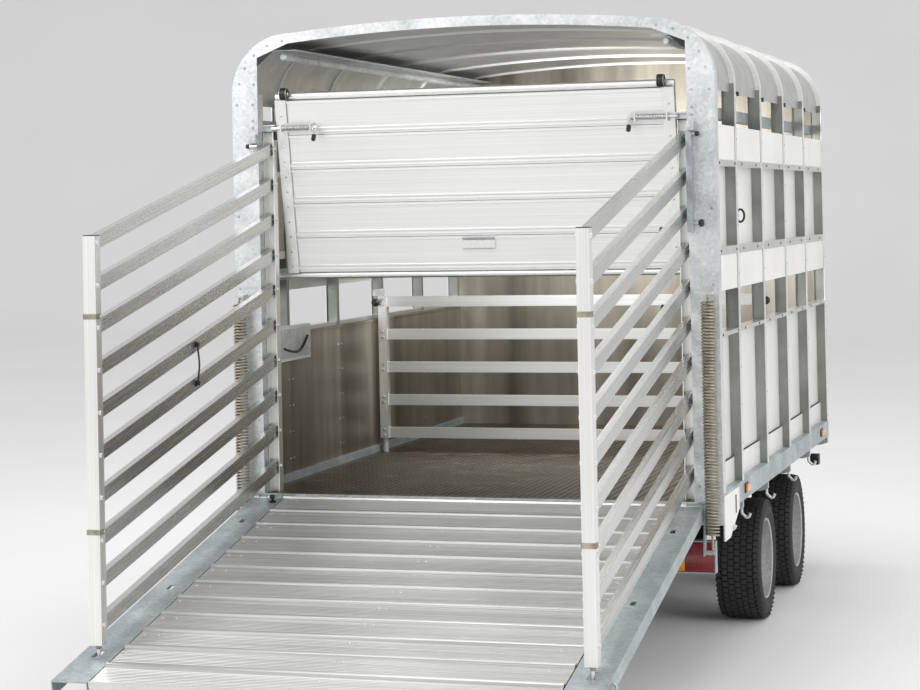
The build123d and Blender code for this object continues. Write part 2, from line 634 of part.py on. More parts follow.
BOLT_S = (1470.0 - UPPER_GATE_BOTTOM) / cos(UPPER_LEAN)
BOLT_N = UPPER_FACE + RIB + 19.0
BOLT_RADIUS = 8.0
BOLT_Y, BOLT_Z = upper_point(0, BOLT_S, BOLT_N)[1:]
STRIP = 46.0
TOP_TUBE = 15.0
TOP_TUBE_S = UPPER_LENGTH - 4.0
ROLLER_S = UPPER_LENGTH + 10.0
ROLLER_N = ROLLER_RADIUS + 8.0

with BuildPart() as upper_gate_frame:
    for side in (-1, 1):
        x_low, x_high = sorted(sides(side, UPPER_HALF - STRIP, UPPER_HALF))
        upper_box(x_low, x_high, 14, UPPER_LENGTH - 16, UPPER_FACE + RIB, UPPER_FACE + RIB + 4)
        x_low, x_high = sorted(sides(side, UPPER_HALF - 5, UPPER_HALF))
        upper_box(x_low, x_high, 14, UPPER_LENGTH - 16, -UPPER_FACE, UPPER_FACE + RIB + 0.1)
        for near, far in ((655, 661), (UPPER_HALF - 30, UPPER_HALF - 24)):
            x_low, x_high = sorted(sides(side, near, far))
            upper_box(x_low, x_high, BOLT_S - 16, BOLT_S + 16, UPPER_FACE + RIB, BOLT_N + 14)
            x_low, x_high = sorted(sides(side, near - 2, far + 2))
            rod(upper_point(x_low, BOLT_S, BOLT_N), upper_point(x_high, BOLT_S, BOLT_N),
                BOLT_RADIUS + RUNNING,
                Mode.SUBTRACT)
        x_low, x_high = sorted(sides(side, 648, UPPER_HALF - STRIP))
        upper_box(x_low, x_high, BOLT_S - 18, BOLT_S + 18, UPPER_FACE + RIB, UPPER_FACE + RIB + 3)
        x_low, x_high = sorted(sides(side, UPPER_HALF - 60, UPPER_HALF - 32))
        rod(upper_point(x_low, ROLLER_S, ROLLER_N), upper_point(x_high, ROLLER_S, ROLLER_N), ROLLER_RADIUS)
        rod(upper_point(side * UPPER_HALF, 0, 0), upper_point(side * (BRACKET_NEAR + 8), 0, 0),
            PIVOT_ROD_RADIUS)
        rod(upper_point(side * (UPPER_HALF - STRIP), ROLLER_S, -2),
            upper_point(side * (UPPER_HALF - STRIP), ROLLER_S,
            ROLLER_N), 5)
    rod(upper_point(-UPPER_HALF, TOP_TUBE_S, 0), upper_point(UPPER_HALF, TOP_TUBE_S, 0), TOP_TUBE)
    rod(upper_point(-UPPER_HALF, 0, 0), upper_point(UPPER_HALF, 0, 0), 14)
    upper_box(-65, 65, 102, 140, UPPER_FACE, UPPER_FACE + 9)
keep("upper_gate_frame", upper_gate_frame)

KEEP_END = UPPER_HALF + 2.0
BOLT_TIP = KEEP_END + 12.0    # short of the gates' bars, so that the tailgate can swing out between them
BOLT_TAIL = 632.0

for name, side in SIDES:
    with BuildPart() as upper_bolt:
        rod((side * BOLT_TAIL, BOLT_Y, BOLT_Z), (side * BOLT_TIP, BOLT_Y, BOLT_Z), BOLT_RADIUS)
        rod((side * (BOLT_TAIL + 6), BOLT_Y, BOLT_Z), (side * (BOLT_TAIL + 6), BOLT_Y - 22, BOLT_Z - 34), 5)
        rod((side * (BOLT_TAIL + 6), BOLT_Y - 20, BOLT_Z - 31),
            (side * (BOLT_TAIL + 6), BOLT_Y - 32, BOLT_Z - 50), 8)
    keep(f"{name}_upper_bolt", upper_bolt)

KEEP_FRONT = BOLT_Y + BOLT_RADIUS + GAP
KEEP_LOW = BOLT_Z - 12.0
SPRING_HANGER = (786.0, 796.0)
LUG = 20.0

with BuildPart() as portal_brackets:
    for side in (-1, 1):
        block(sides(side, KEEP_END, INNER_PORTAL), (KEEP_FRONT, KEEP_FRONT + 6), (KEEP_LOW, BOLT_Z + 15))
        block(sides(side, KEEP_END, INNER_PORTAL), (BOLT_Y - 4, KEEP_FRONT), (BOLT_Z + 9, BOLT_Z + 15))
        block(sides(side, BRACKET_NEAR, BRACKET_NEAR + 6), (PORTAL_WALL + 4, UPPER_GATE_BOTTOM_Y + 28),
              (up(UPPER_GATE_BOTTOM) - 26, up(UPPER_GATE_BOTTOM) + 26))
        rod((side * (BRACKET_NEAR - 1), UPPER_GATE_BOTTOM_Y, up(UPPER_GATE_BOTTOM)),
            (side * (BRACKET_NEAR + 7), UPPER_GATE_BOTTOM_Y, up(UPPER_GATE_BOTTOM)),
            PIVOT_ROD_RADIUS + RUNNING, Mode.SUBTRACT)
        for z in (up(700), up(1300)):
            block(sides(side, GATE_X + GATE_POST_WIDTH / 2, INNER_PORTAL),
                  (GATE_HINGE_Y - 22, GATE_HINGE_Y - 10), (z - 12, z + 12))
        block(sides(side, SPRING_X - 18, SPRING_X + 18), (SPRING_Y - 10, 0), [up(z) for z in SPRING_HANGER])
        for x in (GATE_X - 12, 500):
            near, far = side * (x - LUG / 2), side * (x + LUG / 2)
            block((near, far), (HINGE_Y, 0), (HINGE_Z - HINGE_TUBE_RADIUS, HINGE_Z + HINGE_TUBE_RADIUS))
            rod((near, HINGE_Y, HINGE_Z), (far, HINGE_Y, HINGE_Z), KNUCKLE_RADIUS)
            rod((near - side, HINGE_Y, HINGE_Z), (far + side, HINGE_Y, HINGE_Z),
                HINGE_TUBE_RADIUS + RUNNING, Mode.SUBTRACT)
keep("portal_brackets", portal_brackets)

SPRING_TOP = up(764)
SPRING_BOTTOM = up(-119)
SPRING_OUTER = 28.0

with BuildPart() as ramp_springs:
    for side in (-1, 1):
        x = side * SPRING_X
        rod((x, SPRING_Y, SPRING_BOTTOM), (x, SPRING_Y, SPRING_TOP), SPRING_OUTER)
        rod((x, SPRING_Y, SPRING_BOTTOM + 8), (x, SPRING_Y, SPRING_TOP - 8), SPRING_OUTER - 6,
            Mode.SUBTRACT)
        rod((x, SPRING_Y, SPRING_TOP), (x, SPRING_Y, up(SPRING_HANGER[0])), 5)
        rod((x, SPRING_Y, HINGE_Z - LEVER_LENGTH + LEVER_RADIUS), (x, SPRING_Y, SPRING_BOTTOM), 5)
keep("ramp_springs", ramp_springs)

# ---------------------------------------------------------------- inside the body
DECK_RAIL_X = HALF - POST_DEPTH - POST_WALL

with BuildPart() as deck_rails:
    for side in (-1, 1):
        for z in (1480.0, 867.0):
            z = up(z)
            start = UPPER_GATE_BOTTOM_Y + 40 if z < up(1000) else PORTAL_DEPTH + 4
            block(sides(side, DECK_RAIL_X - 4, DECK_RAIL_X), (start, BULKHEAD_Y - GAP), (z - 22, z + 22))
            block(sides(side, DECK_RAIL_X - 42, DECK_RAIL_X - 4), (start, BULKHEAD_Y - GAP),
                  (z - 22, z - 18))
keep("deck_rails", deck_rails)

DIVISION_TOP = DIVISION_BOTTOM + 26 + DIVISION_PITCH * (DIVISION_BARS - 1) + 26
DIVISION_POST = 40.0
DIVISION_PIVOT_X = -DIVISION_HALF_WIDTH + DIVISION_POST / 2
PIN = 8.0

with BuildPart() as division_gate:
    y = (DIVISION_Y - DIVISION_POST / 2, DIVISION_Y + DIVISION_POST / 2)
    for side in (-1, 1):
        x = sides(side, DIVISION_HALF_WIDTH - DIVISION_POST, DIVISION_HALF_WIDTH)
        block(x, y, (up(DIVISION_BOTTOM), up(DIVISION_TOP)))
    for k in range(DIVISION_BARS):
        z = up(DIVISION_BOTTOM + 26 + DIVISION_PITCH * k)
        tube((-DIVISION_HALF_WIDTH + DIVISION_POST, DIVISION_HALF_WIDTH - DIVISION_POST),
             (DIVISION_Y - 13, DIVISION_Y + 13), (z - 24, z + 24), 3, "x")
    for low, high in ((up(DIVISION_BOTTOM) - 1, up(DIVISION_BOTTOM) + 24),
                      (up(DIVISION_TOP) - 24, up(DIVISION_TOP) + 1)):
        rod((DIVISION_PIVOT_X, DIVISION_Y, low), (DIVISION_PIVOT_X, DIVISION_Y, high), PIN + RUNNING,
            Mode.SUBTRACT)
keep("division_gate", division_gate)

with BuildPart() as division_pivots:
    rod((DIVISION_PIVOT_X, DIVISION_Y, up(0)), (DIVISION_PIVOT_X, DIVISION_Y,
                                                up(DIVISION_BOTTOM) - GAP), 14)
    rod((DIVISION_PIVOT_X, DIVISION_Y, up(0)), (DIVISION_PIVOT_X, DIVISION_Y, up(DIVISION_BOTTOM) + 20),
        PIN)
    rod((DIVISION_PIVOT_X, DIVISION_Y, up(DIVISION_TOP) - 20),
        (DIVISION_PIVOT_X, DIVISION_Y, up(DIVISION_TOP) + 6), PIN)
    block((-DECK_RAIL_X, DIVISION_PIVOT_X + 14), (DIVISION_Y - 18, DIVISION_Y + 18),
          (up(DIVISION_TOP) + GAP, up(DIVISION_TOP) + 6))
    block((-DECK_RAIL_X, -DECK_RAIL_X + 5), (DIVISION_Y - 18, POSTS[2] + POST_WIDTH / 2),
          (up(DIVISION_TOP) + GAP, up(DIVISION_TOP) + 30))
keep("division_pivots", division_pivots)

# ---------------------------------------------------------------- lamps, markers and hooks
LAMP_X = (770.0, 935.0)
LAMP_Z = (up(-272), up(-150))

with BuildPart() as lamp_frames:
    for side in (-1, 1):
        block(sides(side, *LAMP_X), (26, 70), LAMP_Z)
        block(sides(side, LAMP_X[0] + 4, LAMP_X[1] - 4), (25, 66), (LAMP_Z[0] + 4, LAMP_Z[1] - 4),
              Mode.SUBTRACT)
        block(sides(side, LAMP_X[0] + 20, LAMP_X[0] + 60), (24, 66), (LAMP_Z[1], CROSS_BOTTOM))
keep("lamp_frames", lamp_frames)

with BuildPart() as lamps:
    for side in (-1, 1):
        block(sides(side, LAMP_X[0] + 4, LAMP_X[1] - 4), (34, 66), (LAMP_Z[0] + 4, LAMP_Z[1] - 4))
        for y in (POSTS[0] + 60, POSTS[-1] - 260):
            block(sides(side, HALF, HALF + 14), (y - 40, y + 40), (RAIL_TOP - 54, RAIL_TOP - 16))
keep("lamps", lamps)

HOOK_RADIUS = 6.0

with BuildPart() as rope_hooks:
    for side in (-1, 1):
        for y in [180.0] + [post + 60 for post in POSTS[:-1]]:
            x = side * (HALF - 20)
            with BuildLine() as path:
                Polyline((x, y, RAIL_BOTTOM), (x, y, RAIL_BOTTOM - 60),
                         (x + side * 24, y, RAIL_BOTTOM - 84),
                         (x + side * 34, y, RAIL_BOTTOM - 60))
                fillet(path.vertices(), 10)
            with BuildSketch(Plane(path.line @ 0, z_dir=path.line % 0)) as disc:
                Circle(HOOK_RADIUS)
            sweep(disc.sketch, path=path.line)
keep("rope_hooks", rope_hooks)

# ---------------------------------------------------------------- running gear
BEAM_HALF = WHEEL_X - TYRE_WIDTH / 2 - 20.0
HUB_LENGTH = 100.0
DISC_X = WHEEL_X + 20.0

with BuildPart() as axle_beams:
    for y in AXLES:
        block((-BEAM_HALF, BEAM_HALF), (y - AXLE_BEAM / 2, y + AXLE_BEAM / 2),
              (WHEEL_Z - AXLE_BEAM / 2, WHEEL_Z + AXLE_BEAM / 2))
        for side in (-1, 1):
            rod((side * BEAM_HALF, y, WHEEL_Z), (side * (DISC_X + 40), y, WHEEL_Z), SPINDLE_RADIUS)
            rod((side * BEAM_HALF, y, WHEEL_Z), (side * (BEAM_HALF + 8), y, WHEEL_Z), 90)
keep("axle_beams", axle_beams)

LEAF = 9.0
LEAVES = 3
SPRING_SAG = SPRING_EYE_Z - (WHEEL_Z + AXLE_BEAM / 2 + LEAF * LEAVES)
EYE_RADIUS = 16.0

with BuildPart() as leaf_springs:
    for y in AXLES:
        for side in (-1, 1):
            x_low = side * LONGITUDINAL_X - LEAF_WIDTH / 2
            for leaf in range(LEAVES):
                reach = SPRING_HALF * (1 - 0.25 * leaf)
                drop = SPRING_SAG * (1 - (reach / SPRING_HALF) ** 2)
                top = SPRING_EYE_Z - leaf * LEAF
                with BuildSketch(along(x_low)) as blade:
                    with BuildLine():
                        a = ThreePointArc((y - reach, top - drop), (y, top - SPRING_SAG),
                                          (y + reach, top - drop))
                        b = ThreePointArc((y - reach, top - LEAF - drop), (y, top - LEAF - SPRING_SAG),
                                          (y + reach, top - LEAF - drop))
                        Line(a @ 0, b @ 0)
                        Line(a @ 1, b @ 1)
                    make_face()
                extrude(blade.sketch, amount=LEAF_WIDTH)
            for end in (-1, 1):
                rod((x_low, y + end * (SPRING_HALF + 4), SPRING_EYE_Z - 4),
                    (x_low + LEAF_WIDTH, y + end * (SPRING_HALF + 4), SPRING_EYE_Z - 4), EYE_RADIUS)
                block((x_low, x_low + LEAF_WIDTH), (y + end * 35 - 6, y + end * 35 + 6),
                      (WHEEL_Z + AXLE_BEAM / 2, SPRING_EYE_Z - SPRING_SAG + 6))
keep("leaf_springs", leaf_springs)

RIM_RADIUS = RIM_DIAMETER / 2
TYRE_RADIUS = TYRE_DIAMETER / 2
RIM_WALL = 6.0

wheel_names = [(f"{place}_{name}", side, y) for place, y in zip(("rear", "front"), AXLES) for name,
               side in SIDES]
for name, side, y in wheel_names:
    middle = Plane(origin=(side * WHEEL_X, y, WHEEL_Z), x_dir=(0, 1, 0), z_dir=(side, 0, 0))
    width = TYRE_WIDTH / 2
    with BuildPart() as rim:
        with BuildSketch(middle.offset(-width + 12)) as barrel:
            Circle(RIM_RADIUS)
            Circle(RIM_RADIUS - RIM_WALL, mode=Mode.SUBTRACT)
        extrude(barrel.sketch, amount=TYRE_WIDTH - 24)
        with BuildSketch(middle.offset(DISC_X - WHEEL_X)) as disc:
            Circle(RIM_RADIUS - RIM_WALL)
            Circle(SPINDLE_RADIUS + RUNNING, mode=Mode.SUBTRACT)
        extrude(disc.sketch, amount=12)
        with BuildSketch(middle.offset(DISC_X - WHEEL_X - 60)) as hub:
            Circle(58)
            Circle(SPINDLE_RADIUS + RUNNING, mode=Mode.SUBTRACT)
        extrude(hub.sketch, amount=60)
        with BuildSketch(middle.offset(DISC_X - WHEEL_X + 12)) as studs:
            with PolarLocations(49, 5):
                Circle(9)
        extrude(studs.sketch, amount=14)
    keep(f"{name}_rim", rim)
    with BuildPart() as tyre:
        outline = [(RIM_RADIUS, -width + 14), (RIM_RADIUS + 22, -width + 4), (TYRE_RADIUS - 45, -width),
                   (TYRE_RADIUS - 18, -width + 3), (TYRE_RADIUS - 3, -width + 22), (TYRE_RADIUS,
                                                                                    -width + 45)]
        with BuildSketch(Plane(origin=(side * WHEEL_X, y, WHEEL_Z), x_dir=(0, 0, 1),
                               z_dir=(0, 1, 0))) as section:
            with BuildLine():
                Polyline(*outline, *[(r, -x) for r, x in outline[::-1]], close=True)
            make_face()
        revolve(section.sketch, axis=Axis((side * WHEEL_X, y, WHEEL_Z), (1, 0, 0)))
    keep(f"{name}_tyre", tyre)

# ---------------------------------------------------------------- drawbar and coupling
DRAWBAR_Z = (CROSS_BOTTOM - LONGITUDINAL_DEPTH - DRAWBAR_DEPTH, CROSS_BOTTOM - LONGITUDINAL_DEPTH)
DRAWBAR_START_X = LONGITUDINAL_X - 20.0
DRAWBAR_START_Y = BODY_FRONT - 340.0
NOSE_Y = COUPLING_Y - 330.0
NOSE_PLATE = 10.0

JOCKEY_X = 160.0
JOCKEY_Y = NOSE_Y - 120.0
JOCKEY_TUBE = 30.0
STEM_RADIUS = 24.0
JOCKEY_AXLE_Y = JOCKEY_Y - 40.0
JOCKEY_FORK_TOP = 2 * JOCKEY_WHEEL_RADIUS + 12.0
CLAMP_LOW, CLAMP_HIGH = DRAWBAR_Z[0] + 10, DRAWBAR_Z[1] + 100

with BuildPart() as drawbar:
    for side in (-1, 1):
        start = Vector(side * DRAWBAR_START_X, DRAWBAR_START_Y)
        end = Vector(side * 34, NOSE_Y)
        turn = degrees(atan2(end.Y - start.Y, end.X - start.X))
        length = (end - start).length
        middle = (start + end) / 2
        with BuildSketch(Plane.XY.offset(DRAWBAR_Z[0])) as arm:
            with Locations(Location((middle.X, middle.Y, 0), (0, 0, turn))):
                Rectangle(length, 60)
        extrude(arm.sketch, amount=DRAWBAR_Z[1] - DRAWBAR_Z[0])
        with BuildSketch(Plane.XY.offset(DRAWBAR_Z[0] + 4)) as bore:
            with Locations(Location((middle.X, middle.Y, 0), (0, 0, turn))):
                Rectangle(length - 60, 52)
        extrude(bore.sketch, amount=DRAWBAR_Z[1] - DRAWBAR_Z[0] - 8, mode=Mode.SUBTRACT)
    block((-75, 75), (NOSE_Y - 170, NOSE_Y + 20), (DRAWBAR_Z[1], DRAWBAR_Z[1] + NOSE_PLATE))
    rod((JOCKEY_X, JOCKEY_Y, CLAMP_LOW), (JOCKEY_X, JOCKEY_Y, CLAMP_HIGH), JOCKEY_TUBE + 6)
    block((60, JOCKEY_X), (JOCKEY_Y - 26, JOCKEY_Y + 26), (DRAWBAR_Z[1], DRAWBAR_Z[1] + 40))
    rod((JOCKEY_X, JOCKEY_Y, CLAMP_LOW - 1), (JOCKEY_X, JOCKEY_Y, CLAMP_HIGH + 1), STEM_RADIUS + RUNNING,
        Mode.SUBTRACT)
keep("drawbar", drawbar)

HEAD_Z = DRAWBAR_Z[1] + NOSE_PLATE
HEAD_RADIUS = 24.0
SOCKET_LENGTH = 30.0
SHANK_Z = HEAD_Z + HEAD_RADIUS + 12.0
SOCKET_BOTTOM = SHANK_Z - 34.0
BRAKE_PIVOT = (0.0, NOSE_Y - 120, SHANK_Z + 48)

with BuildPart() as coupling_head:
    block((-40, 40), (NOSE_Y - 160, NOSE_Y + 10), (HEAD_Z, HEAD_Z + 14))
    rod((0, NOSE_Y - 150, SHANK_Z), (0, COUPLING_Y - 30, SHANK_Z), HEAD_RADIUS)
    rod((0, COUPLING_Y, SOCKET_BOTTOM), (0, COUPLING_Y, SHANK_Z + 26), 42)
    rod((0, COUPLING_Y, SOCKET_BOTTOM - 1), (0, COUPLING_Y, SOCKET_BOTTOM + SOCKET_LENGTH),
        BALL_SOCKET_RADIUS,
        Mode.SUBTRACT)
    for side in (-1, 1):
        block(sides(side, 30, 40), (NOSE_Y - 150, NOSE_Y - 60), (HEAD_Z, BRAKE_PIVOT[2] + 16))
    rod((-31, *BRAKE_PIVOT[1:]), (31, *BRAKE_PIVOT[1:]), 8)
keep("coupling_head", coupling_head)

with BuildPart() as handbrake_lever:
    rod((-9, *BRAKE_PIVOT[1:]), (9, *BRAKE_PIVOT[1:]), 20)
    polygon_prism(along(-6), [(BRAKE_PIVOT[1] - 16, BRAKE_PIVOT[2] + 10),
                              (BRAKE_PIVOT[1] + 10, BRAKE_PIVOT[2] + 16),
                              (BRAKE_PIVOT[1] - 76, BRAKE_PIVOT[2] + 270), (BRAKE_PIVOT[1] - 100,
                                                                            BRAKE_PIVOT[2] + 262)], 12)
    rod((0, BRAKE_PIVOT[1] - 86, BRAKE_PIVOT[2] + 260), (0, BRAKE_PIVOT[1] - 124, BRAKE_PIVOT[2] + 372), 16)
    rod((-10, *BRAKE_PIVOT[1:]), (10, *BRAKE_PIVOT[1:]), 8 + RUNNING, Mode.SUBTRACT)
keep("handbrake_lever", handbrake_lever)

with BuildPart() as jockey_stem:
    rod((JOCKEY_X, JOCKEY_Y, JOCKEY_FORK_TOP), (JOCKEY_X, JOCKEY_Y, CLAMP_HIGH + 180), STEM_RADIUS)
    rod((JOCKEY_X, JOCKEY_Y, CLAMP_HIGH + 180), (JOCKEY_X, JOCKEY_Y, CLAMP_HIGH + 220), STEM_RADIUS + 6)
    rod((JOCKEY_X, JOCKEY_Y, CLAMP_HIGH + 206), (JOCKEY_X + 110, JOCKEY_Y, CLAMP_HIGH + 206), 6)
    rod((JOCKEY_X + 104, JOCKEY_Y, CLAMP_HIGH + 200), (JOCKEY_X + 104, JOCKEY_Y, CLAMP_HIGH + 270), 12)
    block((JOCKEY_X - 38, JOCKEY_X + 38), (JOCKEY_Y - 60, JOCKEY_Y + 26),
          (JOCKEY_FORK_TOP - 6, JOCKEY_FORK_TOP))
    for side in (-1, 1):
        x = (JOCKEY_X + side * 32, JOCKEY_X + side * 38)
        block(x, (JOCKEY_AXLE_Y - 16, JOCKEY_AXLE_Y + 16), (JOCKEY_WHEEL_RADIUS - 16, JOCKEY_FORK_TOP - 6))
    rod((JOCKEY_X - 38, JOCKEY_AXLE_Y, JOCKEY_WHEEL_RADIUS),
        (JOCKEY_X + 38, JOCKEY_AXLE_Y, JOCKEY_WHEEL_RADIUS), 8)
keep("jockey_stem", jockey_stem)

with BuildPart() as jockey_wheel:
    rod((JOCKEY_X - 30, JOCKEY_AXLE_Y, JOCKEY_WHEEL_RADIUS),
        (JOCKEY_X + 30, JOCKEY_AXLE_Y, JOCKEY_WHEEL_RADIUS),
        JOCKEY_WHEEL_RADIUS)
    rod((JOCKEY_X - 31, JOCKEY_AXLE_Y, JOCKEY_WHEEL_RADIUS),
        (JOCKEY_X + 31, JOCKEY_AXLE_Y, JOCKEY_WHEEL_RADIUS),
        8 + RUNNING, Mode.SUBTRACT)
keep("jockey_wheel", jockey_wheel)

# ---------------------------------------------------------------- place and write
whole = Compound(children=[Compound(part.solids()) for part in pieces.values()]).bounding_box()
SHIFT = Location((0, -(whole.min.Y + whole.max.Y) / 2, 0))
size = whole.size
print(f"length {size.Y:.2f}, width {size.X:.2f}, height {size.Z:.2f}, lowest {whole.min.Z:.3f}")
print(f"shift along Y {-(whole.min.Y + whole.max.Y) / 2:.3f}")

for name, part in pieces.items():
    placed = part.moved(SHIFT)
    placed.label = name
    export_step(placed, f"parts/{name}.step")
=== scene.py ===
# %% [markdown]
# # A livestock trailer with its ramp down
# A galvanised steel frame carries an aluminium body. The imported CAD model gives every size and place,
# and this file adds what CAD leaves out: the finish of each metal, the tread plate, the coil springs,
# the rivets and the small fittings. Work is in metres, in the same frame as the CAD.

import math

import bmesh
import bpy
from mathutils import Matrix, Vector


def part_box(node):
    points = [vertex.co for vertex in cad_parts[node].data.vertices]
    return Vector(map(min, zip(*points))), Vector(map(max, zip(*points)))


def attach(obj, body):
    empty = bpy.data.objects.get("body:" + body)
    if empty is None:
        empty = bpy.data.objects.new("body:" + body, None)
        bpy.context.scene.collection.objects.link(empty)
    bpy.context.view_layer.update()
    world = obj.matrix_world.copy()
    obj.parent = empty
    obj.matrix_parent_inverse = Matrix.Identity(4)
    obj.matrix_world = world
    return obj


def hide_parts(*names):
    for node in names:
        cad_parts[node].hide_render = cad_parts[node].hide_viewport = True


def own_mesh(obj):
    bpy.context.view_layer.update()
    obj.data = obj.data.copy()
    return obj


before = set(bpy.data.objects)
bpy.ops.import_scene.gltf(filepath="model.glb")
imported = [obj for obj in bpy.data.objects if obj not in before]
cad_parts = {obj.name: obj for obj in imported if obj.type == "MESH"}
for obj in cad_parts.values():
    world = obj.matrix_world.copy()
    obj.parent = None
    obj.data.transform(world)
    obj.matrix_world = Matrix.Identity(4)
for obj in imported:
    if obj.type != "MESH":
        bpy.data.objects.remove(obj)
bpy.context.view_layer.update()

# %% [markdown]
# Measurements on a trailer are taken from two faces: the rear face of the door portal and the top of the
# floor. One small function turns such a measurement, in millimetres, into a point of the frame.

# %% Measure from the portal and the floor
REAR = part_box("portal_frame")[0].y
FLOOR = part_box("floor_plate")[1].z


def at(x, y, z):
    """A point x across, y forward of the portal's rear face and z above the floor, in millimetres."""
    return Vector((x / 1000, REAR + y / 1000, FLOOR + z / 1000))


print("portal at", round(REAR, 4), "floor at", round(FLOOR, 4))

# %% [markdown]
# The camera stands behind the trailer, to its right, a little above the ramp. The lens is long, which keeps
# the body's sides nearly parallel, and the lens shift frames the object without turning the camera.

# %% Camera
YAW, PITCH, ROLL = 0.3288, -0.014, 0.0197
forward = Vector((-math.sin(YAW) * math.cos(PITCH), math.cos(YAW) * math.cos(PITCH), -math.sin(PITCH)))
right = Vector((math.cos(YAW), math.sin(YAW), 0))
down = forward.cross(right)
across = math.cos(ROLL) * right + math.sin(ROLL) * down
below = -math.sin(ROLL) * right + math.cos(ROLL) * down
turn = Matrix((across, -below, -forward)).transposed()

lens = bpy.data.cameras.new("camera")
lens.lens, lens.sensor_width = 94.1, 36.0
lens.shift_x, lens.shift_y = 0.1417, -0.1845
camera = bpy.data.objects.new("camera", lens)
camera.matrix_world = Matrix.Translation(at(2522.0, -9049.4, 1134.5)) @ turn.to_4x4()
bpy.context.scene.collection.objects.link(camera)
bpy.context.scene.camera = camera
print("camera at", [round(v, 3) for v in camera.location])

# %% [markdown]
# Bare metal shows what is around it, so the room matters more than the lamps. A pale, even room with one
# large soft lamp above and one to each side gives aluminium its long soft highlights. Two small lamps inside
# the body light the stock space and its ceiling, and no lamp shows to the camera.

# %% Room, lamps and floor
room = bpy.data.worlds.new("pale_room")
room.use_nodes = True
room.node_tree.nodes["Background"].inputs["Color"].default_value = (0.90, 0.90, 0.90, 1)
room.node_tree.nodes["Background"].inputs["Strength"].default_value = 0.9
bpy.context.scene.view_settings.view_transform = "Standard"
bpy.context.scene.world = room


def soft_lamp(name, place, target, size, watts):
    """A square lamp that faces a point."""
    data = bpy.data.lights.new(name, "AREA")
    data.energy, data.size = watts, size
    lamp = bpy.data.objects.new(name, data)
    lamp.location = place
    lamp.rotation_euler = (Vector(target) - Vector(place)).to_track_quat("-Z", "Y").to_euler()
    lamp.visible_camera = False
    bpy.context.scene.collection.objects.link(lamp)


soft_lamp("key", (-3.5, -7.5, 5.5), (0, -1, 1.0), 4.0, 200)
soft_lamp("fill", (7.0, -3.5, 4.0), (0.5, 0, 1.2), 5.0, 170)
soft_lamp("top", (0, 1.5, 8.0), (0, 2.5, 0), 7.0, 230)
soft_lamp("inside", (0, 0.1, 2.05), (0, 1.7, 0.7), 0.7, 30)
soft_lamp("inside_up", (0, 0.5, 1.45), (0, 1.0, 3.0), 1.4, 9)

# %% [markdown]
# ## Finishes
# Colours are written as the sRGB hex values that a colour picker shows. Blender works in linear light, so one
# function converts them. A second function adds a node and sets it up in one line. A third lets patterns drive
# colour, gloss and relief, because real finishes vary in all three together.


# %% Colour and node helpers
def tone(code):
    """An sRGB hex colour in linear light, with alpha."""
    parts = [int(code[i:i + 2], 16) / 255 for i in (1, 3, 5)]
    return (*[c / 12.92 if c <= 0.04045 else ((c + 0.055) / 1.055) ** 2.4 for c in parts], 1.0)


def add(tree, kind, settings=None, links=None):
    """A new node: settings name its sockets, properties or colour stops, and links feed its sockets."""
    node = tree.nodes.new(kind)
    for key, value in (settings or {}).items():
        if key == "stops":
            marks = node.color_ramp.elements
            while len(marks) < len(value):
                marks.new(0.5)
            for mark, (place, code) in zip(marks, value):
                mark.position, mark.color = place, tone(code)
        elif not isinstance(key, int) and key not in node.inputs.keys():
            setattr(node, key, value)
        else:
            node.inputs[key].default_value = value
    for key, source in (links or {}).items():
        tree.links.new(source, node.inputs[key])
    return node


def finish(name, **sockets):
    """A material with its shader, and the piece's own coordinates in metres."""
    material = bpy.data.materials.new(name)
    material.use_nodes = True
    tree = material.node_tree
    shader = tree.nodes["Principled BSDF"]
    for key, value in sockets.items():
        shader.inputs[key.replace("_", " ")].default_value = value
    place = add(tree, "ShaderNodeTexCoord").outputs["Object"]
    return material, tree, shader, place


def dress(tree, shader, stops, colour, gloss=None, rough=None, relief=None):
    """One pattern picks the colour from (place, hex) stops, one the roughness, and one gives relief."""
    picked = add(tree, "ShaderNodeValToRGB", {"stops": stops}, {"Fac": colour})
    tree.links.new(picked.outputs["Color"], shader.inputs["Base Color"])
    if gloss:
        low, high = rough
        spread = add(tree, "ShaderNodeMapRange", {"To Min": low, "To Max": high}, {"Value": gloss})
        tree.links.new(spread.outputs["Result"], shader.inputs["Roughness"])
    if relief:
        height, strength, distance = relief
        dents = add(tree, "ShaderNodeBump", {"Strength": strength, "Distance": distance}, {"Height": height})
        tree.links.new(dents.outputs["Normal"], shader.inputs["Normal"])


def partly(source, name, kept_at, stops, noise, metal=None):
    """A copy of a finish that stays where a mask is 1. Elsewhere it takes its colours from stops, and
    metal = (elsewhere, kept) gives how metallic each part is."""
    material = source.copy()
    material.name = name
    tree = material.node_tree
    shader = tree.nodes["Principled BSDF"]
    place = add(tree, "ShaderNodeTexCoord").outputs["Object"]
    mask = kept_at(tree, place)
    patch = add(tree, "ShaderNodeTexNoise", noise, {"Vector": place})
    other = add(tree, "ShaderNodeValToRGB", {"stops": stops}, {"Fac": patch.outputs["Fac"]})
    both = add(tree, "ShaderNodeMix", {"data_type": "RGBA"}, {
        0: mask, 6: other.outputs["Color"], 7: shader.inputs["Base Color"].links[0].from_socket})
    tree.links.new(both.outputs[2], shader.inputs["Base Color"])
    if metal:
        elsewhere, kept = metal
        shine = add(tree, "ShaderNodeMath", {"operation": "MULTIPLY_ADD", 1: kept - elsewhere, 2: elsewhere},
                    {0: mask})
        tree.links.new(shine.outputs["Value"], shader.inputs["Metallic"])
    return material


print("white is", tone("#ffffff")[0])

# %% [markdown]
# Hot-dip galvanised steel is dipped in molten zinc. The zinc freezes in flat crystals, the spangle, each
# 8 to 15 mm wide with its own grey. A Voronoi texture is made of just such flat cells.


